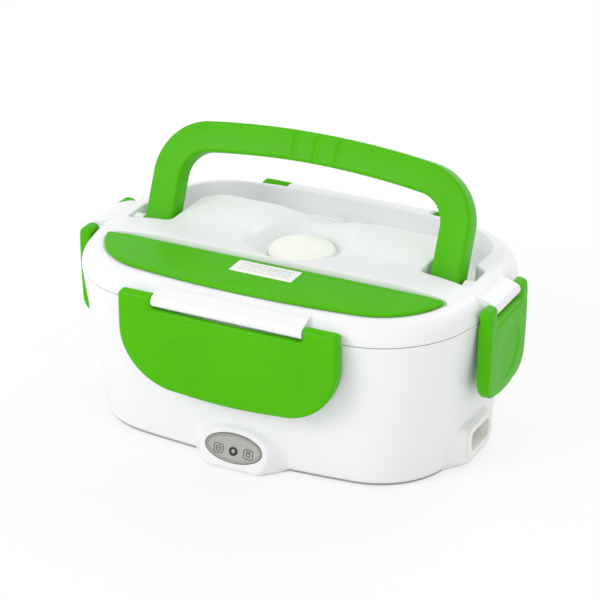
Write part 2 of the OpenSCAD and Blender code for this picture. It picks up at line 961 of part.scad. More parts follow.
// Latch in its local frame: the wall faces -Y and its middle is at [0, -edge].
module latch(edge, half, in_half, front, out, low_r) {
    zs = [83.6, 78, 72, 66, 60, 54, 48, 42, 36];
    difference() {
        union() {
            intersection() {
                translate([-half, -edge, 0])
                    rotate([90, 0, 90])
                        linear_extrude(2 * half)
                            polygon(concat(
                                [for (z = zs) [-plate_face(front, z), z]],
                                [[-plate_back, 36], [-plate_back, 83.6]]
                            ));
                rotate([90, 0, 0])
                    translate([0, 0, edge - 30])
                        latch_outline(half, low_r, 0);
            }
            for (s = [-1, 1])
                translate([s * (half + in_half) / 2, -edge - out, latch_pin_z])
                    rotate([90, 0, 90]) {
                        cylinder(h = half - in_half, r = ear_r, center = true);
                        linear_extrude(half - in_half, center = true)
                            polygon([
                                [out - front, 76 - latch_pin_z],
                                [out - plate_back, 76 - latch_pin_z],
                                [out - plate_back, -4.4],
                                [ear_r * cos(40), -ear_r * sin(40)],
                                [-ear_r * cos(30), ear_r * sin(30)],
                                [out - front, 0]
                            ]);
                    }
            // nose that passes the catch rib
            translate([0, -edge, 0])
                rotate([90, 0, 90])
                    linear_extrude(in_half * 1.4, center = true)
                        polygon([[-2.2, 76], [-1.25, 75.6], [-1.25, 74.4], [-2.2, 72]]);
        }
        // shallow oval thumb recess on the face
        translate([0, -edge - front, 60])
            rotate([90, 0, 0])
                linear_extrude(1.6, center = true)
                    polygon(ellipse(half * 0.62, 15));
        translate([0, -edge - out, latch_pin_z])
            rotate([0, 90, 0])
                cylinder(h = 2 * half - 3, r = 1.3, center = true);
    }
}

module front_latch() color([0.3, 0.76, 0.11])
    latch(half_depth, long_latch_half, long_ear, long_front, long_out, 32);

module rear_latch() color([0.3, 0.76, 0.11])
    rotate(180)
        latch(half_depth, long_latch_half, long_ear, long_front, long_out, 32);

module right_latch() color([0.3, 0.76, 0.11])
    rotate(90)
        latch(half_length, short_latch_half, short_ear, short_front, short_out, 12);

module left_latch() color([0.3, 0.76, 0.11])
    rotate(-90)
        latch(half_length, short_latch_half, short_ear, short_front, short_out, 12);

module long_latch_pins() color([0.75, 0.75, 0.77])
    for (a = [0, 180])
        rotate(a)
            translate([0, -half_depth - long_out, latch_pin_z])
                rotate([0, 90, 0])
                    cylinder(h = 2 * long_latch_half - 4, r = 1.24, center = true);

module short_latch_pins() color([0.75, 0.75, 0.77])
    for (a = [90, -90])
        rotate(a)
            translate([0, -half_length - short_out, latch_pin_z])
                rotate([0, 90, 0])
                    cylinder(h = 2 * short_latch_half - 4, r = 1.24, center = true);

base_shell();
base_liner();
bottom_cover();
rubber_feet();
base_screws();
heating_plate();
heater_block();
heater_clamp();
clamp_screws();
thermal_cutout();
insulation_pad();
inlet_socket();
inlet_pins();
inlet_leads();
indicator_panel();
indicator_lens();
indicator_board();
food_tray();
side_dish_box();
side_dish_lid();
lid_top();
lid_inner();
lid_gasket();
steam_valve();
cutlery_cover();
cover_pins();
spoon();
write_on_label();
carry_handle();
handle_pins();
front_latch();
rear_latch();
left_latch();
right_latch();
long_latch_pins();
short_latch_pins();
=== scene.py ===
"""Electric lunch box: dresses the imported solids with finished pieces, materials and a plain studio."""
import math

import bmesh
import bpy
import numpy as np
from bpy.props import BoolProperty, FloatProperty, FloatVectorProperty, PointerProperty
from mathutils import Matrix, Vector
from mathutils.geometry import delaunay_2d_cdt


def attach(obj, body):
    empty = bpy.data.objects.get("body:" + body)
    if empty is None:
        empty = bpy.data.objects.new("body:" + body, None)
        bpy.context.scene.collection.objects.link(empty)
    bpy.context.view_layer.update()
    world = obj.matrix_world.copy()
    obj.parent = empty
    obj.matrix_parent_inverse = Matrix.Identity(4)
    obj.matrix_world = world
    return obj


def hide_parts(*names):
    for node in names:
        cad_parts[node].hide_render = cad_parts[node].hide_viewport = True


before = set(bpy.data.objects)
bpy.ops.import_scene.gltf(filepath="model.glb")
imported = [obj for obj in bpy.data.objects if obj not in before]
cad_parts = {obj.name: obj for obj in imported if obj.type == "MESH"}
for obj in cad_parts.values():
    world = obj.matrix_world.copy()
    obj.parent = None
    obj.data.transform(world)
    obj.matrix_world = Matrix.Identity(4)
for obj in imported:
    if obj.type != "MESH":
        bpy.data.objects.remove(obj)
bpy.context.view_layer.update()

bl_info = {
    "name": "Electric lunch box",
    "version": (1, 0, 0),
    "blender": (4, 5, 0),
    "location": "View3D > Sidebar > Lunch box",
    "description": "Builds the finished pieces, materials and studio of a heated lunch box",
    "category": "Object",
}

MM = 0.001

# Plan of the body, in millimetres: long walls, ends and corners are tangent arcs.
HALF_LENGTH, HALF_DEPTH = 111.0, 77.0
FRONT_R, SIDE_R, CORNER_R = 500.0, 145.0, 52.0
SEAM_Z, FOOT_GAP, WALL_LEAN = 83.0, 2.0, 11.0
LIP_Z, LIP_R, DOME_Z, MOAT_Z = 94.0, 10.0, 98.0, 80.5
VALVE_Y, PIN_Z = 2.9, 88.0
PIVOT_Y, PIVOT_Z = 1.8, 87.0
HANDLE_HALF, HANDLE_REACH, BAR_W, BAR_T, HANDLE_TILT = 90.0, 64.4, 16.0, 12.0, 24.0
ARCH_R, BEND_R, GRIP_LINES = 490.0, 31.0, (-11.5, 0.5, 12.5)
COVER_Z, HINGE_Y = 96.0, -29.7
PANEL_Y, PANEL_Z, PANEL_TILT = -73.4, 12.0, math.radians(14)
INLET_X, INLET_Y, INLET_Z = 105.0, -6.0, 13.0


def meeting_point(p, rp, q, rq):
    d = np.hypot(*(q - p))
    u = (q - p) / d
    s = (rp * rp - rq * rq + d * d) / (2 * d)
    h = math.sqrt(rp * rp - s * s)
    return p + s * u + h * np.array([u[1], -u[0]])


FRONT_C = np.array([0.0, FRONT_R - HALF_DEPTH])
SIDE_C = np.array([HALF_LENGTH - SIDE_R, 0.0])
CORNER_C = meeting_point(SIDE_C, SIDE_R - CORNER_R, FRONT_C, FRONT_R - CORNER_R)
FRONT_A = math.atan2(CORNER_C[0], FRONT_C[1] - CORNER_C[1])
SIDE_A = math.atan2(-CORNER_C[1], CORNER_C[0] - SIDE_C[0])
FRONT_END = FRONT_R * math.sin(FRONT_A)
SIDE_END = SIDE_R * math.sin(SIDE_A)


def on_panel(x, y, z):
    """Point in the indicator's own frame: x to the right, y up the tilted face, z out of it."""
    ct, st = math.cos(PANEL_TILT), math.sin(PANEL_TILT)
    return (x, PANEL_Y + y * st - z * ct, PANEL_Z + y * ct + z * st)


def on_inlet(x, y, z):
    """Point in the inlet's own frame: x towards the rear, y up, z out of the end wall."""
    return (INLET_X + z, INLET_Y + x, INLET_Z + y)


def wall_at(z):
    """Offset of the leaning wall from the seam outline at height z."""
    return -(SEAM_Z - z) * WALL_LEAN / (SEAM_Z - FOOT_GAP)


class Plan:
    """Columns around the body's outline, set by distances along the front and along the ends."""

    def __init__(self, front_xs, corner_steps, end_ys):
        self.front = [math.asin(x / FRONT_R) for x in front_xs if x < FRONT_END - 0.2]
        self.corner = [i / corner_steps for i in range(corner_steps + 1)]
        self.end = [math.asin(y / SIDE_R) for y in end_ys if y < SIDE_END - 0.2]

    def quarter(self, off):
        pts = [FRONT_C + (FRONT_R + off) * np.array([math.sin(a), -math.cos(a)]) for a in self.front]
        a0, a1 = -math.pi / 2 + FRONT_A, -SIDE_A
        for t in self.corner:
            a = a0 + (a1 - a0) * t
            pts.append(CORNER_C + (CORNER_R + off) * np.array([math.cos(a), math.sin(a)]))
        for a in self.end:
            pts.append(SIDE_C + (SIDE_R + off) * np.array([math.cos(a), -math.sin(a)]))
        return np.array(pts)

    def ring(self, off):
        q = self.quarter(off)
        back = q[::-1] * [1, -1]
        return np.vstack([q, back[1:], (q * [-1, -1])[1:], (back * [-1, -1])[1:-1]])


def steps(a, b, step):
    n = max(1, int(round(abs(b - a) / step)))
    return [a + (b - a) * i / n for i in range(n + 1)]


PLAIN = Plan(steps(0, FRONT_END, 6)[:-1], 16, steps(SIDE_END, 0, 5)[1:])
FINE = Plan(steps(0, 36, 1.2) + steps(38, FRONT_END, 4)[:-1], 18, steps(SIDE_END, 0, 1.2)[1:])
SKIRT = Plan(
    [0, 5, 10, 15, 20, 25, 30, 35, 39, 41.0, 41.7, 42.0, 44, 48, 52, 56, 59.5, 60.5, 60.9, 63.5],
    16,
    [31, 28, 26, 24.4, 24.0, 23, 20, 17, 15.0, 14.7, 14, 11, 8, 4, 0],
)


def inset(x, y):
    """Distance of points inside the seam outline from it."""
    x, y = np.abs(np.asarray(x, float)), -np.abs(np.asarray(y, float))
    fa = np.arctan2(x, FRONT_C[1] - y)
    sa = np.arctan2(-y, x - SIDE_C[0])
    front = FRONT_R - np.hypot(x, y - FRONT_C[1])
    side = SIDE_R - np.hypot(x - SIDE_C[0], y)
    corner = CORNER_R - np.hypot(x - CORNER_C[0], y - CORNER_C[1])
    return np.where(fa < FRONT_A, np.where(sa < SIDE_A, np.minimum(front, side), front), np.where(sa < SIDE_A, side, corner))


def lid_height(x, y):
    """Height of the lid's outer surface: a rounded rim that rises into a soft pillow."""
    d = inset(x, y)
    rim = LIP_Z - LIP_R + np.sqrt(np.maximum(0, LIP_R ** 2 - np.maximum(0, LIP_R - d) ** 2))
    t = np.clip((d - 10) / 35, 0, 1)
    return rim + (DOME_Z - LIP_Z) * (1 - (1 - t) ** 2)


def rounded_path(corners, step=0.8):
    """Closed path through [x, y, radius] corners, each rounded with an arc."""
    out = []
    n = len(corners)
    for i in range(n):
        p, a, b = (np.array(corners[k % n][:2], float) for k in (i, i - 1, i + 1))
        r = corners[i][2] if len(corners[i]) > 2 else 0
        if r <= 0:
            out.append(p)
            continue
        u, v = (a - p) / np.hypot(*(a - p)), (b - p) / np.hypot(*(b - p))
        half = math.acos(np.clip(u @ v, -1, 1)) / 2
        if half > math.radians(89):
            out.append(p)
            continue
        cut = r / math.tan(half)
        c = p + (u + v) / np.hypot(*(u + v)) * r / math.sin(half)
        s, e = p + u * cut - c, p + v * cut - c
        a0, a1 = math.atan2(s[1], s[0]), math.atan2(e[1], e[0])
        turn = (a1 - a0 + math.pi) % (2 * math.pi) - math.pi
        m = max(3, int(abs(turn) * r / step))
        out += [c + r * np.array([math.cos(a0 + turn * k / m), math.sin(a0 + turn * k / m)]) for k in range(m + 1)]
    return densed(np.array(out), 3.5)


def densed(loop, limit):
    """Adds points along a loop's long edges."""
    out = []
    for i, p in enumerate(loop):
        q = loop[(i + 1) % len(loop)]
        m = max(1, int(math.ceil(np.hypot(*(q - p)) / limit)))
        out += [p + (q - p) * k / m for k in range(m)]
    return np.array(out)


def signed_area(loop):
    x, y = loop[:, 0], loop[:, 1]
    return 0.5 * np.sum(x * np.roll(y, -1) - np.roll(x, -1) * y)


def grown(loop, e):
    """Loop moved outwards by e along its normals."""
    if signed_area(loop) < 0:
        loop = loop[::-1]
    a, b = np.roll(loop, 1, 0), np.roll(loop, -1, 0)
    t1, t2 = loop - a, b - loop
    n1 = np.stack([t1[:, 1], -t1[:, 0]], 1) / np.maximum(1e-9, np.hypot(t1[:, 0], t1[:, 1]))[:, None]
    n2 = np.stack([t2[:, 1], -t2[:, 0]], 1) / np.maximum(1e-9, np.hypot(t2[:, 0], t2[:, 1]))[:, None]
    m = n1 + n2
    m /= np.maximum(0.3, np.hypot(m[:, 0], m[:, 1]))[:, None]
    k = np.clip(1 / np.maximum(0.5, np.sum(m * n1, 1)), 1, 1.6)
    return loop + m * (e * k)[:, None]


def inside(px, py, loop):
    """Even-odd test of points against one loop."""
    res = np.zeros(len(px), bool)
    x1, y1 = loop[:, 0], loop[:, 1]
    x2, y2 = np.roll(x1, -1), np.roll(y1, -1)
    for a, b, c, d in zip(x1, y1, x2, y2):
        if b == d:
            continue
        hit = (b > py) != (d > py)
        res ^= hit & (px < (c - a) * (py - b) / (d - b) + a)
    return res


class Shell:
    """Collects vertices and faces of one piece, in millimetres."""

    def __init__(self):
        self.verts, self.faces = [], []

    def add(self, verts, faces):
        base = len(self.verts)
        self.verts += [tuple(map(float, v)) for v in verts]
        self.faces += [tuple(base + i for i in f) for f in faces]
        return self

    def loft(self, rings, closed=False, cap_start=False, cap_end=False):
        """Skins rings of equal length; closed joins the last ring to the first."""
        m, n = len(rings), len(rings[0])
        verts = [p for r in rings for p in r]
        faces = []
        for i in range(m if closed else m - 1):
            a, b = i * n, ((i + 1) % m) * n
            faces += [(a + j, a + (j + 1) % n, b + (j + 1) % n, b + j) for j in range(n)]
        if cap_start:
            faces.append(tuple(range(n))[::-1])
        if cap_end:
            faces.append(tuple((m - 1) * n + j for j in range(n)))
        return self.add(verts, faces)

    def fill(self, outer, holes, height, step, extra=(), lift=lambda x, y, z: (x, y, z)):
        """Meshes the area between loops and lifts it with height(x, y)."""
        loops = [outer] + list(holes)
        pts, edges = [], []
        for lp in loops:
            b = len(pts)
            pts += [Vector(p) for p in lp]
            edges += [(b + i, b + (i + 1) % len(lp)) for i in range(len(lp))]
        lo, hi = outer.min(0), outer.max(0)
        gx, gy = np.meshgrid(np.arange(lo[0] + step / 2, hi[0], step), np.arange(lo[1] + step / 2, hi[1], step * 0.87))
        gx[1::2] += step / 2
        cand = np.vstack([np.stack([gx.ravel(), gy.ravel()], 1)] + [np.asarray(e) for e in extra])
        keep = inside(cand[:, 0], cand[:, 1], outer)
        for h in holes:
            keep &= ~inside(cand[:, 0], cand[:, 1], h)
        cand = cand[keep]
        for lp in loops:
            near = np.array([np.min(np.hypot(lp[:, 0] - p[0], lp[:, 1] - p[1])) for p in cand])
            cand = cand[near > 0.45 * step] if len(cand) else cand
        pts += [Vector(p) for p in cand]
        vs, _, fs, *_ = delaunay_2d_cdt(pts, edges, [], 0, 1e-5)
        xy = np.array([(v.x, v.y) for v in vs])
        tri = np.array([tuple(f) for f in fs])
        mid = xy[tri].mean(1)
        ok = inside(mid[:, 0], mid[:, 1], outer)
        for h in holes:
            ok &= ~inside(mid[:, 0], mid[:, 1], h)
        z = height(xy[:, 0], xy[:, 1])
        z = np.broadcast_to(z, (len(xy),))
        return self.add([lift(x, y, zz) for (x, y), zz in zip(xy, z)], [tuple(t) for t in tri[ok]])

    def lathe(self, profile, n=64, place=lambda x, y, z: (x, y, z), span=1.0):
        """Turns [radius, height] points about the local Z axis."""
        rings = []
        for r, z in profile:
            rings.append([place(r * math.cos(2 * math.pi * k / n), r * math.sin(2 * math.pi * k / n), z) for k in range(n)])
        return self.loft(rings, cap_start=profile[0][0] > 1e-6, cap_end=profile[-1][0] > 1e-6)

    def slab(self, loop, z0, z1, edge=0.3, place=lambda x, y, z: (x, y, z)):
        """Plate with the outline loop between two heights, its edges softened."""
        rows = [(-edge, z0), (-edge * 0.3, z0 + edge * 0.3), (0, z0 + edge), (0, z1 - edge), (-edge * 0.3, z1 - edge * 0.3), (-edge, z1)]
        rings = [[place(p[0], p[1], z) for p in grown(loop, e)] for e, z in rows]
        return self.loft(rings, cap_start=True, cap_end=True)

    def build(self, name, material, body, replaces=(), slot=None, angle=32, weld=0.004):
        mesh = bpy.data.meshes.new(name)
        mesh.from_pydata([(x * MM, y * MM, z * MM) for x, y, z in self.verts], [], self.faces)
        bm = bmesh.new()
        bm.from_mesh(mesh)
        bmesh.ops.remove_doubles(bm, verts=bm.verts, dist=weld * MM)
        bmesh.ops.recalc_face_normals(bm, faces=bm.faces)
        bm.to_mesh(mesh)
        bm.free()
        mesh.shade_smooth()
        mesh.set_sharp_from_angle(angle=math.radians(angle))
        obj = bpy.data.objects.new(name, mesh)
        bpy.context.scene.collection.objects.link(obj)
        mesh.materials.append(material)
        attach(obj, body)
        if replaces:
            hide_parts(*replaces)
        return obj


def carve(obj, cutter):
    """Cuts a closed helper mesh out of a piece."""
    mod = obj.modifiers.new("pocket", "BOOLEAN")
    mod.object, mod.operation, mod.solver = cutter, "DIFFERENCE", "EXACT"
    bpy.context.view_layer.update()
    cut = bpy.data.meshes.new_from_object(obj.evaluated_get(bpy.context.evaluated_depsgraph_get()))
    obj.modifiers.remove(mod)
    obj.data = cut
    cut.set_sharp_from_angle(angle=math.radians(32))
    bpy.data.objects.remove(cutter)


def helper(shell, name):
    mesh = bpy.data.meshes.new(name)
    mesh.from_pydata([(x * MM, y * MM, z * MM) for x, y, z in shell.verts], [], shell.faces)
    bm = bmesh.new()
    bm.from_mesh(mesh)
    bmesh.ops.recalc_face_normals(bm, faces=bm.faces)
    bm.to_mesh(mesh)
    bm.free()
    obj = bpy.data.objects.new(name, mesh)
    bpy.context.scene.collection.objects.link(obj)
    return obj


def soft_min(a, b, k):
    h = np.clip(0.5 + 0.5 * (b - a) / k, 0, 1)
    return b + (a - b) * h - k * h * (1 - h)


def around(profile, plan=PLAIN):
    """Rings of a wall profile of [offset, height] points."""
    return [[(p[0], p[1], z) for p in plan.ring(off)] for off, z in profile]


def rounded_box(w, h, r):
    return rounded_path([(w / 2, h / 2, r), (-w / 2, h / 2, r), (-w / 2, -h / 2, r), (w / 2, -h / 2, r)], 0.35)


def ellipse(a, b, n=96):
    t = np.arange(n) * 2 * math.pi / n
    return np.stack([a * np.cos(t), b * np.sin(t)], 1)


# Materials.

def srgb(c):
    return [x / 12.92 if x <= 0.04045 else ((x + 0.055) / 1.055) ** 2.4 for x in c]


def finish(name, colour, roughness=0.4, metallic=0.0, coat=0.0, grain=300.0, bump=0.04, vary=0.03, rough_vary=0.06,
           specular=0.5, stretch=None, speck=None):
    """Plastic, rubber or metal with mottled tone, uneven gloss and a fine surface grain."""
    mat = bpy.data.materials.new(name)
    mat.use_nodes = True
    nt = mat.node_tree
    nd, ln = nt.nodes, nt.links
    sh = nd["Principled BSDF"]
    sh.inputs["Metallic"].default_value = metallic
    sh.inputs["Specular IOR Level"].default_value = specular
    sh.inputs["Coat Weight"].default_value = coat
    sh.inputs["Coat Roughness"].default_value = 0.12
    tc = nd.new("ShaderNodeTexCoord")
    mp = nd.new("ShaderNodeMapping")
    ln.new(tc.outputs["Object"], mp.inputs["Vector"])
    if stretch:
        mp.inputs["Scale"].default_value = stretch
    broad = nd.new("ShaderNodeTexNoise")
    broad.inputs["Scale"].default_value = 22.0
    broad.inputs["Detail"].default_value = 3.0
    ln.new(mp.outputs["Vector"], broad.inputs["Vector"])
    lin = srgb(colour)
    ramp = nd.new("ShaderNodeValToRGB")
    ramp.color_ramp.elements[0].position = 0.3
    ramp.color_ramp.elements[1].position = 0.7
    ramp.color_ramp.elements[0].color = [max(0, x * (1 - vary)) for x in lin] + [1]
    ramp.color_ramp.elements[1].color = [min(1, x * (1 + vary)) for x in lin] + [1]
    ln.new(broad.outputs["Fac"], ramp.inputs["Fac"])
    fine = nd.new("ShaderNodeTexNoise")
    fine.inputs["Scale"].default_value = grain
    fine.inputs["Detail"].default_value = 4.0
    ln.new(mp.outputs["Vector"], fine.inputs["Vector"])
    if speck:
        dots = nd.new("ShaderNodeValToRGB")
        dots.color_ramp.elements[0].position = 0.60
        dots.color_ramp.elements[1].position = 0.68
        dots.color_ramp.elements[0].color = (0, 0, 0, 1)
        dots.color_ramp.elements[1].color = (1, 1, 1, 1)
        ln.new(fine.outputs["Fac"], dots.inputs["Fac"])
        mix = nd.new("ShaderNodeMix")
        mix.data_type = "RGBA"
        ln.new(dots.outputs["Color"], mix.inputs["Factor"])
        ln.new(ramp.outputs["Color"], mix.inputs["A"])
        mix.inputs["B"].default_value = srgb(speck) + [1]
        ln.new(mix.outputs["Result"], sh.inputs["Base Color"])
    else:
        ln.new(ramp.outputs["Color"], sh.inputs["Base Color"])
    rr = nd.new("ShaderNodeMapRange")
    rr.inputs["To Min"].default_value = max(0.02, roughness - rough_vary)
    rr.inputs["To Max"].default_value = min(1, roughness + rough_vary)
    ln.new(fine.outputs["Fac"], rr.inputs["Value"])
    ln.new(rr.outputs["Result"], sh.inputs["Roughness"])
    bp = nd.new("ShaderNodeBump")
    bp.inputs["Strength"].default_value = bump
    bp.inputs["Distance"].default_value = 0.0001
    ln.new(fine.outputs["Fac"], bp.inputs["Height"])
    ln.new(bp.outputs["Normal"], sh.inputs["Normal"])
    return mat


MATERIALS = {}


def material(key):
    """Makes each finish once, from the colours in the sidebar."""
    if key in MATERIALS:
        return MATERIALS[key]
    c = bpy.context.scene.lunch_box_colours
    white, green = tuple(c.shell), tuple(c.clips)
    cream, grey = tuple(c.valve), tuple(c.panel)
    table = {
        "white_plastic": lambda: finish("satin_white_shell", white, 0.38, grain=700, bump=0.02, vary=0.008, rough_vary=0.03, specular=0.35),
        "inner_plastic": lambda: finish("matt_white_lining", [x * 0.97 for x in white], 0.5, grain=900, bump=0.08, vary=0.015),
        "green_plastic": lambda: finish("leaf_green_clips", green, 0.34, coat=0.0, grain=600, bump=0.03, vary=0.04, specular=0.1),
        "silicone": lambda: finish("cream_silicone", cream, 0.5, grain=500, bump=0.08, vary=0.03, specular=0.35),
        "dark_rubber": lambda: finish("black_foot_rubber", (0.13, 0.13, 0.13), 0.75, grain=900, bump=0.3, vary=0.15),
        "panel_grey": lambda: finish("warm_grey_panel", grey, 0.45, grain=1500, bump=0.12, vary=0.02, speck=[x * 0.93 for x in grey]),
        "lens": lambda: finish("frosted_light_guide", (0.62, 0.64, 0.6), 0.22, grain=800, bump=0.03, coat=0.4),
        "aluminium": lambda: finish("spun_aluminium", (0.8, 0.8, 0.81), 0.32, metallic=1.0, grain=60, bump=0.15, stretch=(1, 1, 30)),
        "steel": lambda: finish("plain_steel", (0.72, 0.72, 0.74), 0.28, metallic=1.0, grain=400, bump=0.08),
        "brass": lambda: finish("bright_brass", (0.82, 0.69, 0.38), 0.24, metallic=1.0, grain=400, bump=0.06),
        "ceramic": lambda: finish("wrapped_heater", (0.84, 0.82, 0.76), 0.6, grain=250, bump=0.3, vary=0.08),
        "dark_plastic": lambda: finish("black_phenolic", (0.12, 0.12, 0.13), 0.45, grain=700, bump=0.1, vary=0.1),
        "felt": lambda: finish("needled_felt", (0.84, 0.8, 0.7), 0.95, grain=1200, bump=0.9, vary=0.12, speck=(0.7, 0.66, 0.55)),
        "lead_red": lambda: finish("red_lead_sleeve", (0.65, 0.12, 0.1), 0.45, grain=500, bump=0.1, vary=0.08),
        "board": lambda: finish("green_board_lacquer", (0.09, 0.36, 0.17), 0.35, grain=350, bump=0.15, vary=0.15),
        "label": lambda: finish("white_film_label", (0.955, 0.955, 0.945), 0.42, grain=900, bump=0.03, vary=0.01),
        "warm_white": lambda: finish("warm_white_housing", (0.935, 0.935, 0.925), 0.38, grain=700, bump=0.02, vary=0.01, rough_vary=0.03, specular=0.35),
        "plinth_grey": lambda: finish("pale_grey_plinth", (0.62, 0.62, 0.63), 0.5, grain=700, bump=0.05, vary=0.03),
        "rim_grey": lambda: finish("dark_panel_rim", (0.5, 0.5, 0.48), 0.4, grain=1500, bump=0.08, vary=0.03),
        # painted seam shadow: a dark grey that stands in for the shade in the gap between lid and base, not a real seal
        "seam_shadow_paint": lambda: finish("painted_seam_shadow", (0.2, 0.2, 0.21), 0.6, grain=700, bump=0.05, vary=0.05),
        "ink": lambda: finish("dark_ink", (0.09, 0.09, 0.09), 0.4, grain=900, bump=0.05, vary=0.1),
        "grey_ink": lambda: finish("grey_ink", (0.42, 0.42, 0.4), 0.5, grain=900, bump=0.05, vary=0.05),
    }
    MATERIALS[key] = table[key]()
    return MATERIALS[key]


def dress(node, key, width=0.25):
    """Gives a carried-over solid its finish and softens its sharp edges."""
    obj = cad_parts[node]
    obj.data.materials.clear()
    obj.data.materials.append(material(key))
    if width:
        mod = obj.modifiers.new("soft_edges", "BEVEL")
        mod.width, mod.segments, mod.limit_method = width * MM, 2, "ANGLE"
        mod.angle_limit = math.radians(50)


# Base.

def tub_bulges(x, y, z):
    """Pushes the tub's outer wall out to the indicator's boss, which dips below the rim."""
    front = (y < -50) & (np.abs(x) < 50) & (z < 45)
    v = (z - PANEL_Z) / math.cos(PANEL_TILT)
    face = PANEL_Y - 0.6 + (z - PANEL_Z) * math.tan(PANEL_TILT) + 0.35 * np.maximum(0, 3.4 - z) ** 2
    r = np.hypot(x / 18.6, np.where(v > 0, v / 10.4, v / 16)) - 1
    deep = np.sqrt(np.maximum(0, r * 14 / 0.62) ** 2 + 0.2) - 0.45
    pushed = np.where(front, soft_min(y, face + deep, 2.2), y)
    sink = np.clip((y - pushed) / 2.5, 0, 1) * np.clip((8 - z) / 6, 0, 1)
    return pushed, z - 1.1 * sink


def base_tub():
    low = wall_at(FOOT_GAP)
    outer = [(-0.3, 82.95), (-0.08, 82.88), (0, 82.65)]
    outer += [(wall_at(z), z) for z in steps(81.5, 30, 3.2)[:-1]] + [(wall_at(z), z) for z in steps(30, 4.6, 1.0)]
    for i in range(1, 7):
        a = math.pi / 2 * i / 6
        outer.append((wall_at(4.6) - 2.2 * (1 - math.cos(a)), 4.6 - 2.6 * math.sin(a)))
    inner = [(low - 5, 2), (low - 8, 2), (low - 8, 4.4), (wall_at(7) - 3.6, 5), (wall_at(9) - 2.6, 9), (-2.6, 82.75), (-2.4, 82.95)]
    rings = []
    for off, z in outer:
        p = FINE.ring(off)
        y, zz = tub_bulges(p[:, 0], p[:, 1], np.full(len(p), z))
        rings.append([(a, b, c) for a, b, c in zip(p[:, 0], y, zz)])
    rings += around(inner, FINE)
    s = Shell().loft(rings, closed=True)
    # catch ribs under the latches
    for turn, edge, half in ((0, HALF_DEPTH, 38), (2, HALF_DEPTH, 38), (1, HALF_LENGTH, 13), (3, HALF_LENGTH, 13)):
        rows = [(-1.4, 78.9), (0.5, 78.6), (0.88, 78.2), (0.88, 76.8), (0.5, 76.3), (-1.6, 75.2)]
        radius = FRONT_R if edge == HALF_DEPTH else SIDE_R
        xs = steps(-half, half, 3)
        rings = []
        for t in xs:
            pts = []
            for off, z in rows:
                q = np.array([t, radius - edge - math.sqrt((radius + off) ** 2 - t * t)])
                pts.append((*turned(q, turn), z))
            rings.append(pts)
        s.loft(rings, cap_start=True, cap_end=True)
    obj = s.build("base_tub", material("white_plastic"), "base", ["base_shell"], "white_plastic")
    pocket = Shell().slab(rounded_box(26.6, 14.6, 4), -24, 20, 0.01, on_inlet)
    carve(obj, helper(pocket, "pocket_tool"))
    recess = Shell().slab(ellipse(16.3, 7.9, 128), -0.65, 8, 0.01, on_panel)
    carve(obj, helper(recess, "recess_tool"))
    plinth = Shell()
    rows = [(low - 2.2, 2.3), (low - 1.5, 2.1), (low - 1.2, 1.8), (low - 1.5, 0.9), (low - 2.4, 0.6), (low - 6, 0.6), (low - 6, 2.3)]
    rings = []
    for off, z in rows:
        p = FINE.ring(off)
        y, _ = tub_bulges(p[:, 0], p[:, 1], np.full(len(p), 3.4))
        rings.append([(q[0], b + (1.6 if b < q[1] - 0.3 else 0), z) for q, b in zip(p, y)])
    plinth.loft(rings, closed=True)
    plinth.build("base_plinth", material("plinth_grey"), "base")


def turned(p, quarter_turns):
    """Rotates a plan point by quarter turns: 0 front, 1 right end, 2 rear, 3 left end."""
    x, y = p[0], p[1]
    for _ in range(quarter_turns):
        x, y = -y, x
    return x, y


def base_lining():
    rows = [(-22, 29.5), (-16.2, 29.5), (-15.2, 30), (-14.7, 31.2), (-9.7, 71.8), (-9.3, 72.5), (-8.8, 72.7),
            (wall_at(72.7) - 2.7, 72.7), (wall_at(70.5) - 2.7, 70.5), (-8, 70.5), (-13.4, 28), (-22, 28)]
    s = Shell().loft(around(rows))
    ring = PLAIN.ring(-22)
    hole = ellipse(46, 46, 96)
    s.fill(ring, [hole], lambda x, y: 29.5, 7)
    s.fill(ring, [hole], lambda x, y: 28.0, 9)
    s.lathe([(46, 28.0), (46, 29.5)], 96)
    for x, y in ((-80, -30), (80, -30), (-80, 30), (80, 30)):
        s.lathe([(1.5, 5.2), (4.2, 5.2), (4.2, 28.4)], 32, lambda a, b, c, x=x, y=y: (x + a, y + b, c))
    return s.build("base_lining", material("inner_plastic"), "base", ["base_liner"], "inner_plastic")


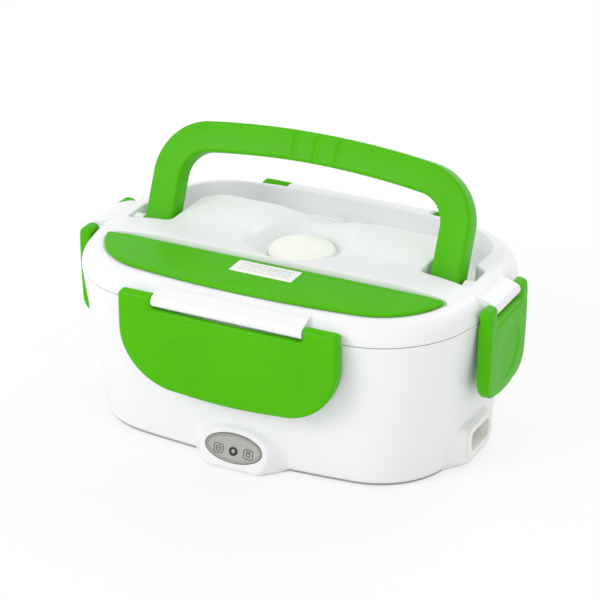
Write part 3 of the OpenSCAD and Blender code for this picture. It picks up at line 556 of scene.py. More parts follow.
def indicator():
    """Oval panel with a raised rim, two framed marks, and a round light guide in a dark ring."""
    place = on_panel
    rows = [(1.0, -0.5), (1.0, 0.45), (0.985, 0.72), (0.962, 0.86), (0.935, 0.82), (0.915, 0.66), (0.9, 0.5), (0.88, 0.46)]
    s = Shell()
    oval = ellipse(16.1, 7.7, 128)
    rings = [[place(*p, z) for p in grown(oval, (k - 1) * 16)] for k, z in rows]
    s.loft(rings, cap_start=True, cap_end=True)
    s.build("indicator_oval", material("panel_grey"), "base", ["indicator_panel"], "panel_grey")
    rim = Shell()
    for rows in ([(0.02, 0.2), (0.02, 0.6), (-0.15, 0.88), (-0.45, 0.96), (-0.72, 0.88), (-0.78, 0.55)],
                 [(-1.15, 0.45), (-1.15, 0.72), (-1.25, 0.78), (-1.4, 0.78), (-1.48, 0.7), (-1.48, 0.45)]):
        rim.loft([[place(*p, z) for p in grown(oval, e)] for e, z in rows], closed=True)
    rim.build("indicator_rim", material("rim_grey"), "base")
    marks = Shell()

    def outline(loop, width, cx, cy):
        rows = ((0, 0.44), (0, 0.56), (-width, 0.56), (-width, 0.44))
        marks.loft([[place(cx + p[0], cy + p[1], z) for p in grown(loop, e)] for e, z in rows], closed=True)

    for cx in (-8.4, 8.4):
        outline(rounded_box(5.4, 5.2, 1.3), 0.3, cx, -1.5)
    outline(ellipse(1.55, 1.55, 40), 0.34, -8.4, -1.5)
    outline(rounded_box(2.3, 2.3, 0.6), 0.34, 8.4, -1.7)
    for w, h, cx, cy in ((1.5, 0.36, -8.4, -1.5), (2.9, 0.34, 8.4, 0.0)):
        marks.slab(rounded_box(w, h, 0.12), 0.44, 0.56, 0.03, lambda x, y, z, cx=cx, cy=cy: place(cx + x, cy + y, z))
    marks.build("indicator_marks", material("ink"), "base")
    ring = Shell()
    prof = [(1.15, 0.4), (1.15, 0.72), (1.25, 0.8), (2.15, 0.8), (2.35, 0.68), (2.35, 0.4)]
    ring.lathe(prof, 64, lambda x, y, z: place(x, y - 1.5, z))
    ring.build("indicator_light_ring", material("ink"), "base")
    lens = Shell()
    lens.lathe([(2.9, -1.6), (2.9, -0.7), (2.0, -0.7), (2.0, 0.5), (1.3, 0.52), (0.9, 0.62), (0.5, 0.68), (0.0, 0.7)], 48,
               lambda x, y, z: place(x, y - 1.5, z))
    lens.build("indicator_light_guide", material("lens"), "base", ["indicator_lens"], "lens")


def mains_inlet():
    """Inlet socket with a stepped frame, a deep pocket and two pins, in a flared housing."""
    place = on_inlet
    flange, pocket, sleeve = rounded_box(30, 17.6, 5), rounded_box(22.4, 10.6, 3.4), rounded_box(26, 14, 3.8)
    s = Shell()
    rows = [(0, 0.05), (0, 0.75), (-0.12, 1.0), (-0.4, 1.12), (-1.2, 1.15)]
    s.loft([[place(p[0], p[1], z) for p in grown(flange, e)] for e, z in rows])
    s.fill(grown(flange, -1.2), [grown(pocket, 0.4)], lambda x, y: 1.15, 2.0, lift=place)
    rows = [(0.4, 1.15), (0.12, 1.05), (0, 0.75), (-0.15, -13.4)]
    s.loft([[place(p[0], p[1], z) for p in grown(pocket, e)] for e, z in rows], cap_end=True)
    s.loft([[place(p[0], p[1], z) for p in sleeve] for z in (0.05, -17)], cap_end=True)
    s.fill(flange, [sleeve], lambda x, y: 0.05, 2.0, lift=place)
    s.build("inlet_frame", material("warm_white"), "base", ["inlet_socket"], "white_plastic")
    h = Shell()
    face, mouth = rounded_box(32, 20.6, 4), rounded_box(26.4, 14.4, 4)
    rows = [(0.0, -0.9), (0.12, -0.35), (0.45, -0.08), (0.9, 0.0)]
    rings = [[place(p[0], p[1], z) for p in mouth] for z in (-12.9, 0.0)]
    h.loft(rings)
    h.fill(grown(face, -0.9) + [0, -1], [mouth], lambda x, y: 0.0, 2.0, lift=place)
    rings = [[place(p[0], p[1] - 1, z) for p in grown(face, -e)] for e, z in rows[::-1]]
    for depth in (2, 4, 6, 8, 10, 12):
        k, m = 1 + 0.8 * depth / 12, 1 + 0.25 * depth / 12
        inner = np.array([(p[0] * k, max(0.9 - INLET_Z, p[1] * m - 1)) for p in face])
        rings.append([place(*p, -depth - 0.9) for p in inner])
    h.loft(rings)
    h.fill(inner, [mouth], lambda x, y: -12.9, 4.0, lift=place)
    h.build("inlet_housing", material("warm_white"), "base", [], "white_plastic", angle=25)
    p = Shell()
    for sx in (-1, 1):
        prof = [(1.2, -24), (1.2, -3.3), (1.1, -2.8), (0.8, -2.4), (0.4, -2.2), (0, -2.15)]
        p.lathe(prof, 32, lambda x, y, z, sx=sx: place(x + sx * 6, y, z))
    p.build("inlet_contacts", material("brass"), "base", ["inlet_pins"], "brass")


def food_containers():
    rows = [(-26, 33.3), (-21, 33.3), (-19.6, 33.6), (-18.3, 34.4), (-17.4, 35.6), (-17, 37), (-12.6, 73.6), (-12, 74.6),
            (-11.2, 75), (-5.7, 75), (-5.2, 74.5), (-5.2, 72.7), (-6.4, 72.7), (-6.4, 73.4), (-10.5, 73.4), (-15.4, 36),
            (-16.1, 34), (-17.6, 32.4), (-19, 31.7), (-20.6, 31.5), (-26, 31.5)]
    s = Shell().loft(around(rows))
    for z in (31.5, 33.3):
        s.fill(PLAIN.ring(-26), [], lambda x, y, z=z: z, 9)
    wall = Shell()
    reach = 54.5
    rows = [(-0.9, 33), (-0.9, 63.2), (-0.6, 63.8), (0, 64), (0.6, 63.8), (0.9, 63.2), (0.9, 33)]
    rings = [[(18.9 + dx, y, z) for dx, z in rows] for y in steps(-reach, reach, 6)]
    wall.loft(rings, cap_start=True, cap_end=True)
    s.add(wall.verts, wall.faces)
    s.build("food_tray_shell", material("inner_plastic"), "base", ["food_tray"], "inner_plastic")

    def right_part(off, x0, r):
        ring = PLAIN.ring(off)
        pts = [tuple(p) for p in ring if p[0] > x0 + r * 0.6]
        pts.sort(key=lambda p: math.atan2(p[1], p[0] - x0 + 25))
        ymax = max(p[1] for p in pts)
        loop = [(x0, -ymax, r)] + [(p[0], p[1], 0) for p in pts] + [(x0, ymax, r)]
        return rounded_path(loop, 0.8)

    box = Shell()
    out, inn = right_part(-18.9, 20.6, 4), right_part(-20.4, 22.1, 2.6)
    rows = [(-4, 33.3), (-2.6, 33.5), (-0.8, 34.4), (0, 36), (0, 68.3), (-0.3, 68.6)]
    box.loft([[(*p, z) for p in grown(out, e)] for e, z in rows], cap_start=True)
    rows = [(0.3, 68.6), (0, 68.3), (0, 38.5), (-0.9, 36.8), (-2.4, 36)]
    box.loft([[(*p, z) for p in grown(inn, e)] for e, z in rows], cap_end=True)
    box.fill(grown(out, -0.3), [grown(inn, 0.3)], lambda x, y: 68.6, 3)
    box.build("side_dish", material("inner_plastic"), "base", ["side_dish_box"], "inner_plastic", weld=0.03)
    lid = Shell()
    rows = [(-1.6, 66.4), (-1.6, 68.9), (0, 68.9), (0, 70.1), (-0.35, 70.5)]
    lid.loft([[(*p, z) for p in grown(out, e)] for e, z in rows], cap_start=True, cap_end=True)
    lid.slab(rounded_box(6, 26, 2), 70.4, 72.7, 0.5, lambda x, y, z: (x + 50, y - 14, z))
    lid.build("side_dish_cover", material("green_plastic"), "base", ["side_dish_lid"], "green_plastic")


def carried_over_base():
    for node, key in (("bottom_cover", "inner_plastic"), ("rubber_feet", "dark_rubber"), ("base_screws", "steel"),
                      ("heating_plate", "aluminium"), ("heater_block", "ceramic"), ("heater_clamp", "aluminium"),
                      ("clamp_screws", "steel"), ("thermal_cutout", "dark_plastic"), ("insulation_pad", "felt"),
                      ("inlet_leads", "lead_red"), ("indicator_board", "board")):
        dress(node, key, 0.0 if node == "inlet_leads" else 0.2)


# Lid.

ARCH_C = HANDLE_REACH - ARCH_R
BEND_X = HANDLE_HALF - BEND_R
BEND_Y = ARCH_C + math.sqrt((ARCH_R - BEND_R) ** 2 - BEND_X ** 2)
ARCH_A = math.asin(BEND_X / (ARCH_R - BEND_R))


def handle_side(off, bend_steps, arch_steps):
    """Right half of the handle's path from the leg's straight to the top, at an offset from its outer edge."""
    pts = []
    for i in range(bend_steps + 1):
        a = (math.pi / 2 - ARCH_A) * i / bend_steps
        pts.append((BEND_X + (BEND_R + off) * math.cos(a), BEND_Y + (BEND_R + off) * math.sin(a)))
    for i in range(1, arch_steps + 1):
        a = math.pi / 2 - ARCH_A + ARCH_A * i / arch_steps
        pts.append(((ARCH_R + off) * math.cos(a), ARCH_C + (ARCH_R + off) * math.sin(a)))
    return pts


def moat_loop():
    right = handle_side(1.2, 14, 16)
    leg = [(71.5, -7.5, 3), (97.6, -7.5, 4), (97.6, 14.5, 3), (91.2, 14.5, 3)]
    arc = [(x, y + PIVOT_Y, 0) for x, y in right]
    arc += [(-x, y, 0) for x, y, _ in arc[-2::-1]]
    left = [(-x, y, r) for x, y, r in leg[::-1]]
    notch = [(66 * math.sin(t), 96 - 66 * math.cos(t), 0) for t in np.linspace(-0.36, 0.36, 19)]
    platform = [(-71.5, 36, 14), (-28.5, 36, 5)] + notch + [(28.5, 36, 5), (71.5, 36, 14)]
    return rounded_path(leg + arc + left + platform)


def clipped_front(off, y_cut, r):
    """Front part of the outline ahead of a straight cut, with rounded ends."""
    ring = FINE.ring(off)
    pts = sorted([tuple(p) for p in ring if p[1] < y_cut - r * 1.1], key=lambda p: p[0])
    x_end = max(p[0] for p in FINE.ring(off) if abs(p[1] - y_cut) < 2)
    return rounded_path([(p[0], p[1], 0) for p in pts] + [(x_end, y_cut, r), (-x_end, y_cut, r)])


def rim_profile():
    """Lid's rim as [offset, height] from its lower edge to the lip."""
    pts = [(0, 83.6), (0, 83.9), (0, 84.4)]
    return pts + [(-LIP_R + LIP_R * math.cos(a), LIP_Z - LIP_R + LIP_R * math.sin(a)) for a in np.linspace(0.06, 1.16, 12)]


def tab_profile(out, edge, pin_z, r):
    """Side view of the tab between a latch's ears, in the latch's frame: [y, height]."""
    under = pin_z - r - 0.4
    pts = [(-edge, 83.6), (-edge, max(83.52, under - 0.4)), (-edge - out * 0.5, max(83.5, under))]
    for i in range(9):
        a = math.radians(-100 - 165 * i / 8)
        pts.append((-edge - out + r * math.cos(a), pin_z + r * math.sin(a)))
    rise = pin_z + 4.6
    return pts + [(-edge + 1, rise), (-edge + 3, rise + (93.5 - rise) * 0.6), (-edge + 5, 93.5)]


def lid_shell():
    s = Shell()
    ring0 = SKIRT.ring(0)
    inner_ring = SKIRT.ring(-6.1)
    under = [(-20, 78.5), (-6.4, 78.5), (-6.2, 78.7), (-6.2, 83.3), (-0.35, 83.35), (-0.08, 83.42)]
    rings = around(under, SKIRT)
    rows = []
    for off, z in rim_profile():
        p = SKIRT.ring(off)
        rows.append([[q[0], q[1], z] for q in p])
    n = len(ring0)
    for turn, edge, out, tab, ear, pin_z, tab_r in ((0, HALF_DEPTH, 1.4, 41.7, 60.5, PIN_Z, 3.1),
                                                    (1, HALF_LENGTH, 2.6, 14.7, 24.0, PIN_Z, 3.1),
                                                    (2, HALF_DEPTH, 1.4, 41.7, 60.5, PIN_Z, 3.1),
                                                    (3, HALF_LENGTH, 2.6, 14.7, 24.0, PIN_Z, 3.1)):
        prof = tab_profile(out, edge, pin_z, tab_r)
        for k in range(n):
            lx, ly = turned(ring0[k], (4 - turn) % 4)
            if ly > 0 or abs(lx) > ear + 0.2:
                continue
            if abs(lx) <= tab + 0.05:
                for j, (y, z) in enumerate(prof):
                    x, yy = turned((lx, y), turn)
                    rows[j][k] = [x, yy, z]
            else:
                for j in range(len(rows)):
                    px, py = turned(rows[j][k], (4 - turn) % 4)
                    dy, dz = py + edge + out, rows[j][k][2] - pin_z
                    d = math.hypot(dy, dz)
                    if d < 3.8 and rows[j][k][2] > 83.7:
                        py, pz = -edge - out + dy * 3.8 / d, pin_z + dz * 3.8 / d
                        x, yy = turned((px, py), turn)
                        rows[j][k] = [x, yy, pz]
    rings += [[tuple(p) for p in r] for r in rows]
    rings.append([(p[0], p[1], float(lid_height(p[0], p[1]))) for p in inner_ring])
    s.loft(rings)

    moat, well = moat_loop(), ellipse(28.8, 28.8, 96) + [0, VALVE_Y]
    recess, tub = clipped_front(-11.3, -27.2, 4), clipped_front(-15.2, -31.0, 4)
    extra = [PLAIN.ring(-k) for k in (6.9, 7.9, 9.0, 10.2, 12.5, 15.5, 19)]
    s.fill(inner_ring, [grown(moat, 1.2), grown(recess, 0.4), well], lid_height, 3.4, extra)
    # moat around the platform
    rings = []
    for e, drop in ((1.2, 0), (0.75, 0.12), (0.35, 0.42), (0.1, 0.85), (0, 1.3)):
        p = grown(moat, e)
        h = lid_height(p[:, 0], p[:, 1]) - drop
        rings.append([(a, b, c) for (a, b), c in zip(p, h)])
    for e, z in ((-0.15, 88), (-0.3, 83), (-0.5, 81.6), (-1.0, 80.8), (-1.8, 80.5)):
        rings.append([(p[0], p[1], z) for p in grown(moat, e)])
    s.loft(rings)
    s.fill(grown(moat, -1.8), [], lambda x, y: MOAT_Z, 7)
    # pivot bosses in the moat's outer walls
    for sx in (-1, 1):
        prof = [(6, 98.2), (6, 91.9), (5.7, 91.55), (5.2, 91.4), (3.0, 91.4), (2.7, 91.7), (2.6, 92.2)]
        s.lathe(prof, 48, lambda a, b, c, sx=sx: (sx * c, PIVOT_Y + a, PIVOT_Z + b))
    # dished well
    prof = [(28.8, None), (28.45, 97.85), (28.05, 97.5), (27.2, 97.0), (26.0, 96.4), (25.0, 95.8), (24.2, 95.0), (20.4, 90.0),
            (19.9, 89.4), (19.2, 89.0), (18.4, 88.9), (5.6, 88.9), (5.3, 88.6), (5.3, 79)]
    rings = []
    for r, z in prof:
        p = ellipse(r, r, 96) + [0, VALVE_Y]
        h = lid_height(p[:, 0], p[:, 1]) if z is None else np.full(len(p), z)
        rings.append([(a, b, c) for (a, b), c in zip(p, h)])
    s.loft(rings)
    # cutlery compartment, with a trough under the cover's hinge
    def shelf(x, y):
        trough = 94.6 - np.sqrt(np.maximum(0, 2.2 ** 2 - (y - HINGE_Y) ** 2))
        return np.minimum(94.0, trough)

    rings = []
    for e, drop in ((0.4, 0), (0.1, 0.1), (0, 0.35)):
        p = grown(recess, e)
        h = np.maximum(94.0, lid_height(p[:, 0], p[:, 1]) - drop)
        rings.append([(a, b, c) for (a, b), c in zip(p, h)])
    rings.append([(a, b, c) for (a, b), c in zip(recess, shelf(recess[:, 0], recess[:, 1]))])
    s.loft(rings)
    rows = np.array([(x, y) for x in np.arange(-92, 93, 3.0) for y in (-27.6, -28.2, -28.9, -29.7, -30.5)])
    s.fill(recess, [grown(tub, 0.3)], shelf, 4, [rows])
    rings = []
    for e, z in ((0.3, 94), (0.05, 93.9), (0, 93.6), (-0.2, 87), (-0.7, 85.4), (-2.0, 84.5)):
        p = grown(tub, e)
        h = np.minimum(z, shelf(p[:, 0], p[:, 1]))
        rings.append([(a, b, c) for (a, b), c in zip(p, h)])
    s.loft(rings)
    s.fill(grown(tub, -2.0), [], lambda x, y: 84.5, 6)
    s.build("lid_shell", material("white_plastic"), "lid", ["lid_top"], "white_plastic", angle=38, weld=0.02)
    # Dark grey ring just inside the lid's lower edge: painted seam shadow, a dark band put where the gap between lid
    # and base shows only shade
    ring = [(-0.7, 83.0), (-2.3, 83.0), (-2.3, 83.8), (-0.7, 83.8)]
    Shell().loft(around(ring), closed=True).build("seam_shadow_ring", material("seam_shadow_paint"), "lid")


def lid_lining():
    rows = [(-6.9, 78.4), (-6.5, 78.2), (-6.4, 77.9), (-6.4, 77.3), (-6.7, 77.05), (-7.2, 77)]
    s = Shell().loft(around(rows))
    hole = ellipse(9, 9, 48) + [0, VALVE_Y]
    s.fill(PLAIN.ring(-7.2), [hole], lambda x, y: 77.0, 9)
    s.fill(PLAIN.ring(-6.9), [hole], lambda x, y: 78.4, 9)
    s.loft([[(p[0], p[1], z) for p in hole] for z in (77.0, 78.4)])
    for x in (-60, -30, 0, 30, 60):
        s.slab(rounded_box(1.4, 100, 0.5), 75.95, 77.2, 0.25, lambda a, b, c, x=x: (x + a, b, c))
    s.build("lid_lining", material("inner_plastic"), "lid", ["lid_inner"], "inner_plastic")
    rows = [(-11.9, 76.95), (-6.6, 76.95), (-6.6, 76.2), (-6.8, 75.8), (-7.4, 75.35), (-8.0, 75.3), (-8.6, 75.4), (-9.0, 75.8),
            (-9.3, 75.95), (-9.6, 75.8), (-10.0, 75.4), (-10.5, 75.3), (-11.2, 75.4), (-11.7, 75.8), (-11.9, 76.2)]
    Shell().loft(around(rows), closed=True).build("lid_seal", material("silicone"), "lid", ["lid_gasket"], "silicone", angle=50)


def valve():
    """Soft cap with a domed top, a pinched waist and a stem."""
    top = [(r, 67.9 + math.sqrt(29 ** 2 - r * r)) for r in (0, 2.5, 5, 7.5, 10, 12, 13.8, 15.2)]
    prof = top[::-1]
    prof = [(5.0, 79.0), (5.0, 88.8), (5.4, 89.2), (16.6, 89.2), (17.2, 89.4), (17.5, 89.9), (17.5, 90.6), (17.3, 91.2), (16.8, 91.9),
            (16.1, 92.4)] + prof
    s = Shell().lathe(prof, 96, lambda x, y, z: (x, y + VALVE_Y, z))
    s.build("soft_valve", material("silicone"), "valve", ["steam_valve"], "silicone", angle=40)


def cover():
    """Cutlery cover with softened edges, a thumb dimple and its hinge barrel."""
    loop = clipped_front(-11.9, HINGE_Y, 2.5)

    def top(x, y):
        r = np.hypot(x, y + 68)
        t = np.clip((15.2 - r) / 0.9, 0, 1)
        crease = np.exp(-((np.abs(y - HINGE_Y) - 3.4) / 0.35) ** 2) * 0.16
        return COVER_Z - 0.5 * t * t * (3 - 2 * t) - 0.5 * np.clip(1 - (r / 15.2) ** 2, 0, 1) - crease

    s = Shell()
    rows = [(-0.5, 94.3), (-0.1, 94.4), (0, 94.8)]
    rings = [[(p[0], p[1], z) for p in grown(loop, e)] for e, z in rows]
    for e, drop in ((0, 0.75), (-0.12, 0.35), (-0.4, 0.09), (-0.9, 0.0)):
        p = grown(loop, e)
        h = np.maximum(94.7, top(p[:, 0], p[:, 1]) - drop)
        rings.append([(a, b, c) for (a, b), c in zip(p, h)])
    s.loft(rings)
    s.fill(grown(loop, -0.9), [], top, 3.0, [
        np.array([(x, y) for x in np.arange(-17, 17.1, 0.75) for y in np.arange(-66, -51, 0.75)]),
        np.array([(x, y) for x in np.arange(-88, 89, 2.0) for y in (-33.8, -33.4, -33.1, -32.8, -32.4)])])
    s.fill(grown(loop, -0.5), [], lambda x, y: 94.3, 9)
    prof = [(0.9, -87.4), (1.35, -87.0), (1.35, 87.0), (0.9, 87.4)]
    s.lathe(prof, 32, lambda x, y, z: (z, HINGE_Y + x, 94.6 + y))
    s.build("cover_plate", material("green_plastic"), "cover", ["cutlery_cover"], "green_plastic", angle=40, weld=0.03)
    pins = Shell()
    for sx in (-1, 1):
        prof = [(0.9, 84.2), (0.9, 92.2), (0.75, 92.4), (0.0, 92.5)]
        pins.lathe(prof, 24, lambda x, y, z, sx=sx: (sx * z, HINGE_Y + x, 94.6 + y))
    pins.build("cover_pivots", material("green_plastic"), "cover", ["cover_pins"], "green_plastic")
    label = Shell().slab(rounded_box(35, 13, 0.6), 96.02, 96.22, 0.05, lambda x, y, z: (x + 0.5, y - 38.7, z))
    label.build("label_film", material("label"), "cover", ["write_on_label"], "label")
    lines = Shell()
    for i, y in enumerate((3.6, 1.4, -0.8, -3.0)):
        lines.slab(rounded_box(29, 0.22, 0.1), 96.2, 96.24, 0.01, lambda a, b, c, y=y: (a + 0.5, b - 38.7 + y, c))
    lines.build("label_ruling", material("grey_ink"), "cover")


def cutlery():
    """Spoon with a dished bowl and a crowned stem."""
    y0 = -45.6
    bowl = ellipse(21.6, 12.6, 72)

    def under(x, y):
        return 126.8 - np.sqrt(42 ** 2 - np.minimum(1700, (x + 44) ** 2 + (y - y0) ** 2))

    s = Shell()
    loop = bowl + [-44, y0]
    s.fill(loop, [], under, 2.4)
    s.fill(grown(loop, -0.9), [], lambda x, y: under(x, y) + 1.3, 2.4)
    rings = []
    for e, up in ((0, 0), (0.15, 0.5), (0.05, 1.0), (-0.4, 1.35), (-0.9, 1.3)):
        p = grown(loop, e)
        q = grown(loop, min(e, 0))
        h = under(q[:, 0], q[:, 1]) + up
        rings.append([(a, b, c) for (a, b), c in zip(p, h)])
    s.loft(rings)
    rings = []
    for x, w, z in ((-30, 3.4, 88.5), (-24, 3.1, 88.9), (-14, 2.6, 89.0), (4, 2.4, 89.0), (30, 3.0, 89.0), (58, 3.8, 89.0), (68, 3.9, 89.0),
                    (71.2, 3.2, 89.0), (72.4, 1.8, 89.0)):
        rings.append([(x, y0 + w * math.cos(a), z + 0.75 * math.sin(a) - 0.5 * (1 - abs(math.cos(a))) * 0) for a in
                      np.linspace(0, 2 * math.pi, 24, endpoint=False)])
    s.loft(rings, cap_start=True, cap_end=True)
    s.build("spoon_body", material("white_plastic"), "lid", ["spoon"], "white_plastic", angle=50)


def handle():
    """Folding handle: rounded bar, ribbed channel at the back, finger grooves at the front."""
    tilt = math.radians(90 - HANDLE_TILT)

    def place(x, u, w):
        y, z = u * math.cos(tilt) - w * math.sin(tilt), u * math.sin(tilt) + w * math.cos(tilt)
        return (x, PIVOT_Y + y, PIVOT_Z + z)

    def section(u, x_mid, depth, half_t):
        """[offset from the outer edge, distance to the front] around the bar, from the back's outer edge."""
        r = min(1.5, half_t * 0.98)
        pts = []
        for cx, cw, a0 in ((-r, half_t - r, 90), (-BAR_W + r, half_t - r, 180), (-BAR_W + r, -half_t + r, 270), (-r, -half_t + r, 0)):
            for k in range(6):
                a = math.radians(a0 - 90 + 18 * k)
                pts.append((cx + r * math.cos(a), cw + r * math.sin(a)))
        front = pts[:12]
        groove = sum(0.5 * math.exp(-((x_mid - g) / 0.9) ** 4) for g in GRIP_LINES) if u > 40 else 0
        face = []
        for k in range(13):
            t = k / 12
            o = front[5][0] + (front[6][0] - front[5][0]) * t
            dish = 0.28 * math.sin(math.pi * t) ** 0.8 if half_t > 5 else 0
            inside_groove = groove * (1 if 0.02 < t < 0.98 else 0)
            face.append((o, half_t - dish - inside_groove))
        back_l, back_r = -BAR_W + 3.0, -3.0
        floor = -half_t + depth
        channel = [(back_l, -half_t), (back_l, -half_t + min(0.3, depth)), (back_l, floor * 0.5 - half_t * 0.5), (back_l + 0.15, floor),
                   (back_r - 0.15, floor), (back_r, floor * 0.5 - half_t * 0.5), (back_r, -half_t + min(0.3, depth)), (back_r, -half_t)]
        return front[:5] + face + front[7:12] + pts[12:18] + channel + pts[18:24]

    stations = []
    for i in range(9):
        a = math.radians(-82 + 82 * i / 8)
        stations.append(("leg", BAR_T / 2 * math.sin(a), BAR_T / 2 * math.cos(a), 0.0))
    for u, d in ((2, 0), (6, 0), (11.4, 0), (12.0, 4.0), (12.6, 8.4)):
        stations.append(("leg", u, BAR_T / 2, d))
    stations += [("leg", u, BAR_T / 2, 8.6) for u in steps(15, BEND_Y - 0.5, 3)]
    path = []
    for kind, u, ht, d in stations:
        sec = section(u, HANDLE_HALF, d, ht)
        path.append([(HANDLE_HALF + o, u, w) for o, w in sec])
    bend, arch = 22, 64
    for i in range(bend + arch + 1):
        if i <= bend:
            a = (math.pi / 2 - ARCH_A) * i / bend
            c, r = (BEND_X, BEND_Y), BEND_R
        else:
            a = math.pi / 2 - ARCH_A + ARCH_A * (i - bend) / arch
            c, r = (0, ARCH_C), ARCH_R
        xm = c[0] + r * math.cos(a)
        sec = section(60, xm, 8.6, BAR_T / 2)
        path.append([(c[0] + (r + o) * math.cos(a), c[1] + (r + o) * math.sin(a), w) for o, w in sec])
    full = path + [[(-x, u, w) for x, u, w in ring] for ring in path[-2::-1]]
    s = Shell().loft([[place(*p) for p in ring] for ring in full], cap_start=True, cap_end=True)
    for x in (-45, -30, -15, 0, 15, 30, 45):
        top = ARCH_C + math.sqrt(ARCH_R ** 2 - x * x)
        loop = rounded_box(1.5, BAR_W - 5.8, 0.4)
        s.slab(loop, -5.9, 2.8, 0.2, lambda a, b, c, x=x, top=top: place(x + a, top - BAR_W / 2 + b, c))
    s.build("handle_bar", material("green_plastic"), "handle", ["carry_handle"], "green_plastic", angle=36)
    dress("handle_pins", "steel", 0.3)


# Latches.

def latch(name, node, body, turn, edge, half, in_half, front, out, low_r, radius, pin_z, ear_r):
    """Clip plate with two pivot ears, softened edges, a thumb recess and a flange towards the wall."""
    back, low, top = 1.7, 38.0, pin_z - 4.4
    c = np.array([half - low_r, low + 1.5 + low_r])
    pts = [(*(c + low_r * np.array([math.cos(a), math.sin(a)])), 0) for a in np.linspace(-math.pi / 2, 0, 20)]
    ear_top = pin_z + ear_r
    pts += [(half, ear_top, 3.0), (in_half, ear_top, 1.6), (in_half, top, 2.2)]
    bow = [(c[0] * t, low + 1.5 * t * t, 0) for t in np.linspace(-0.95, 0.95, 17)]
    loop = rounded_path(bow + pts + [(-x, z, r) for x, z, r in pts[::-1]], 0.6)

    def face(x, z):
        y = front - np.where(z > 78, 0, (np.maximum(0, 78 - z) / 40) ** 2 * 1.6)
        r = np.hypot(x / (half * 0.62), (z - 60) / 15)
        t = np.clip((1.04 - r) / (1.6 / 15), 0, 1)
        y = y - 0.5 * t * t * (3 - 2 * t) - 0.5 * np.clip(1 - r * r, 0, 1)
        t = np.clip((z - top + 4.0) / 0.7, 0, 1) * np.clip((in_half + 1.5 - np.abs(x)) / 0.6, 0, 1)
        y = y - 0.5 * t * t * (3 - 2 * t)
        cap = out + np.sqrt(np.maximum(0, ear_r ** 2 - np.maximum(0, z - pin_z) ** 2)) + 0.24 * np.maximum(0, pin_z - z)
        return np.minimum(y, cap)

    def rear(x, z, flange):
        sag = x * x / (2 * radius)
        y = np.where(flange, -sag + 1.2, back)
        cap = out - np.sqrt(np.maximum(0, ear_r ** 2 - (z - pin_z) ** 2))
        t = np.clip((z - 83.6) / 2.2, 0, 1)
        return np.where(z > 83.6, y * (1 - t) + cap * t, y)

    def place(x, y, z):
        px, py = turned((x, -edge - y), turn)
        return (px, py, z)

    s = Shell()
    lines = [ellipse(half * 0.62 * k, 15 * k, int(half * 4)) + [0, 60] for k in (1.05, 1.02, 0.985, 0.95, 0.92)]
    lines += [np.array([(x, z) for x in np.arange(-in_half, in_half + 0.1, 1.5)]) for z in (top - 4.1, top - 3.8, top - 3.4, top - 3.1)]
    s.fill(grown(loop, -1.5), [], face, 2.4, lines, lift=lambda x, z, y: place(x, y, z))
    rings = []
    for e, k in ((-1.5, 0), (-0.95, 0.09), (-0.45, 0.42), (-0.12, 0.88), (0, 1.5)):
        p = grown(loop, e)
        f, b = face(p[:, 0], p[:, 1]), rear(p[:, 0], p[:, 1], True)
        y = f - np.minimum(k, 0.5 * (f - b))
        rings.append([place(x, yy, z) for (x, z), yy in zip(p, y)])
    for e, flange in ((0, True), (-0.25, True), (-2.0, True), (-2.3, False)):
        p = grown(loop, e)
        y = rear(p[:, 0], p[:, 1], flange) + (0.3 if e == 0 else 0)
        y = np.minimum(y, face(p[:, 0], p[:, 1]) - (0 if flange else 0.6))
        rings.append([place(x, yy, z) for (x, z), yy in zip(p, y)])
    s.loft(rings)
    s.fill(grown(loop, -2.3), [], lambda x, z: np.minimum(rear(x, z, False), face(x, z) - 0.6), 3.5, lift=lambda x, z, y: place(x, y, z))
    nose = [(2.2, 76), (1.5, 75.9), (1.27, 75.5), (1.27, 74.5), (2.2, 72)]
    s.loft([[place(x, y, z) for y, z in nose] for x in steps(-in_half * 0.7, in_half * 0.7, 6)], cap_start=True, cap_end=True)
    s.build(name, material("green_plastic"), body, [node], "green_plastic", angle=40)


def all_latches():
    long_clip = (HALF_DEPTH, 60.5, 42.0, 4.8, 1.4, 32.0, FRONT_R)
    short_clip = (HALF_LENGTH, 24.0, 15.0, 6.3, 2.6, 12.0, SIDE_R)
    latch("clip_front", "front_latch", "latch_front", 0, *long_clip, PIN_Z, 3.4)
    latch("clip_rear", "rear_latch", "latch_rear", 2, *long_clip, PIN_Z, 3.4)
    latch("clip_right", "right_latch", "latch_right", 1, *short_clip, PIN_Z, 3.4)
    latch("clip_left", "left_latch", "latch_left", 3, *short_clip, PIN_Z, 3.4)
    dress("long_latch_pins", "steel", 0.2)
    dress("short_latch_pins", "steel", 0.2)


# Studio.

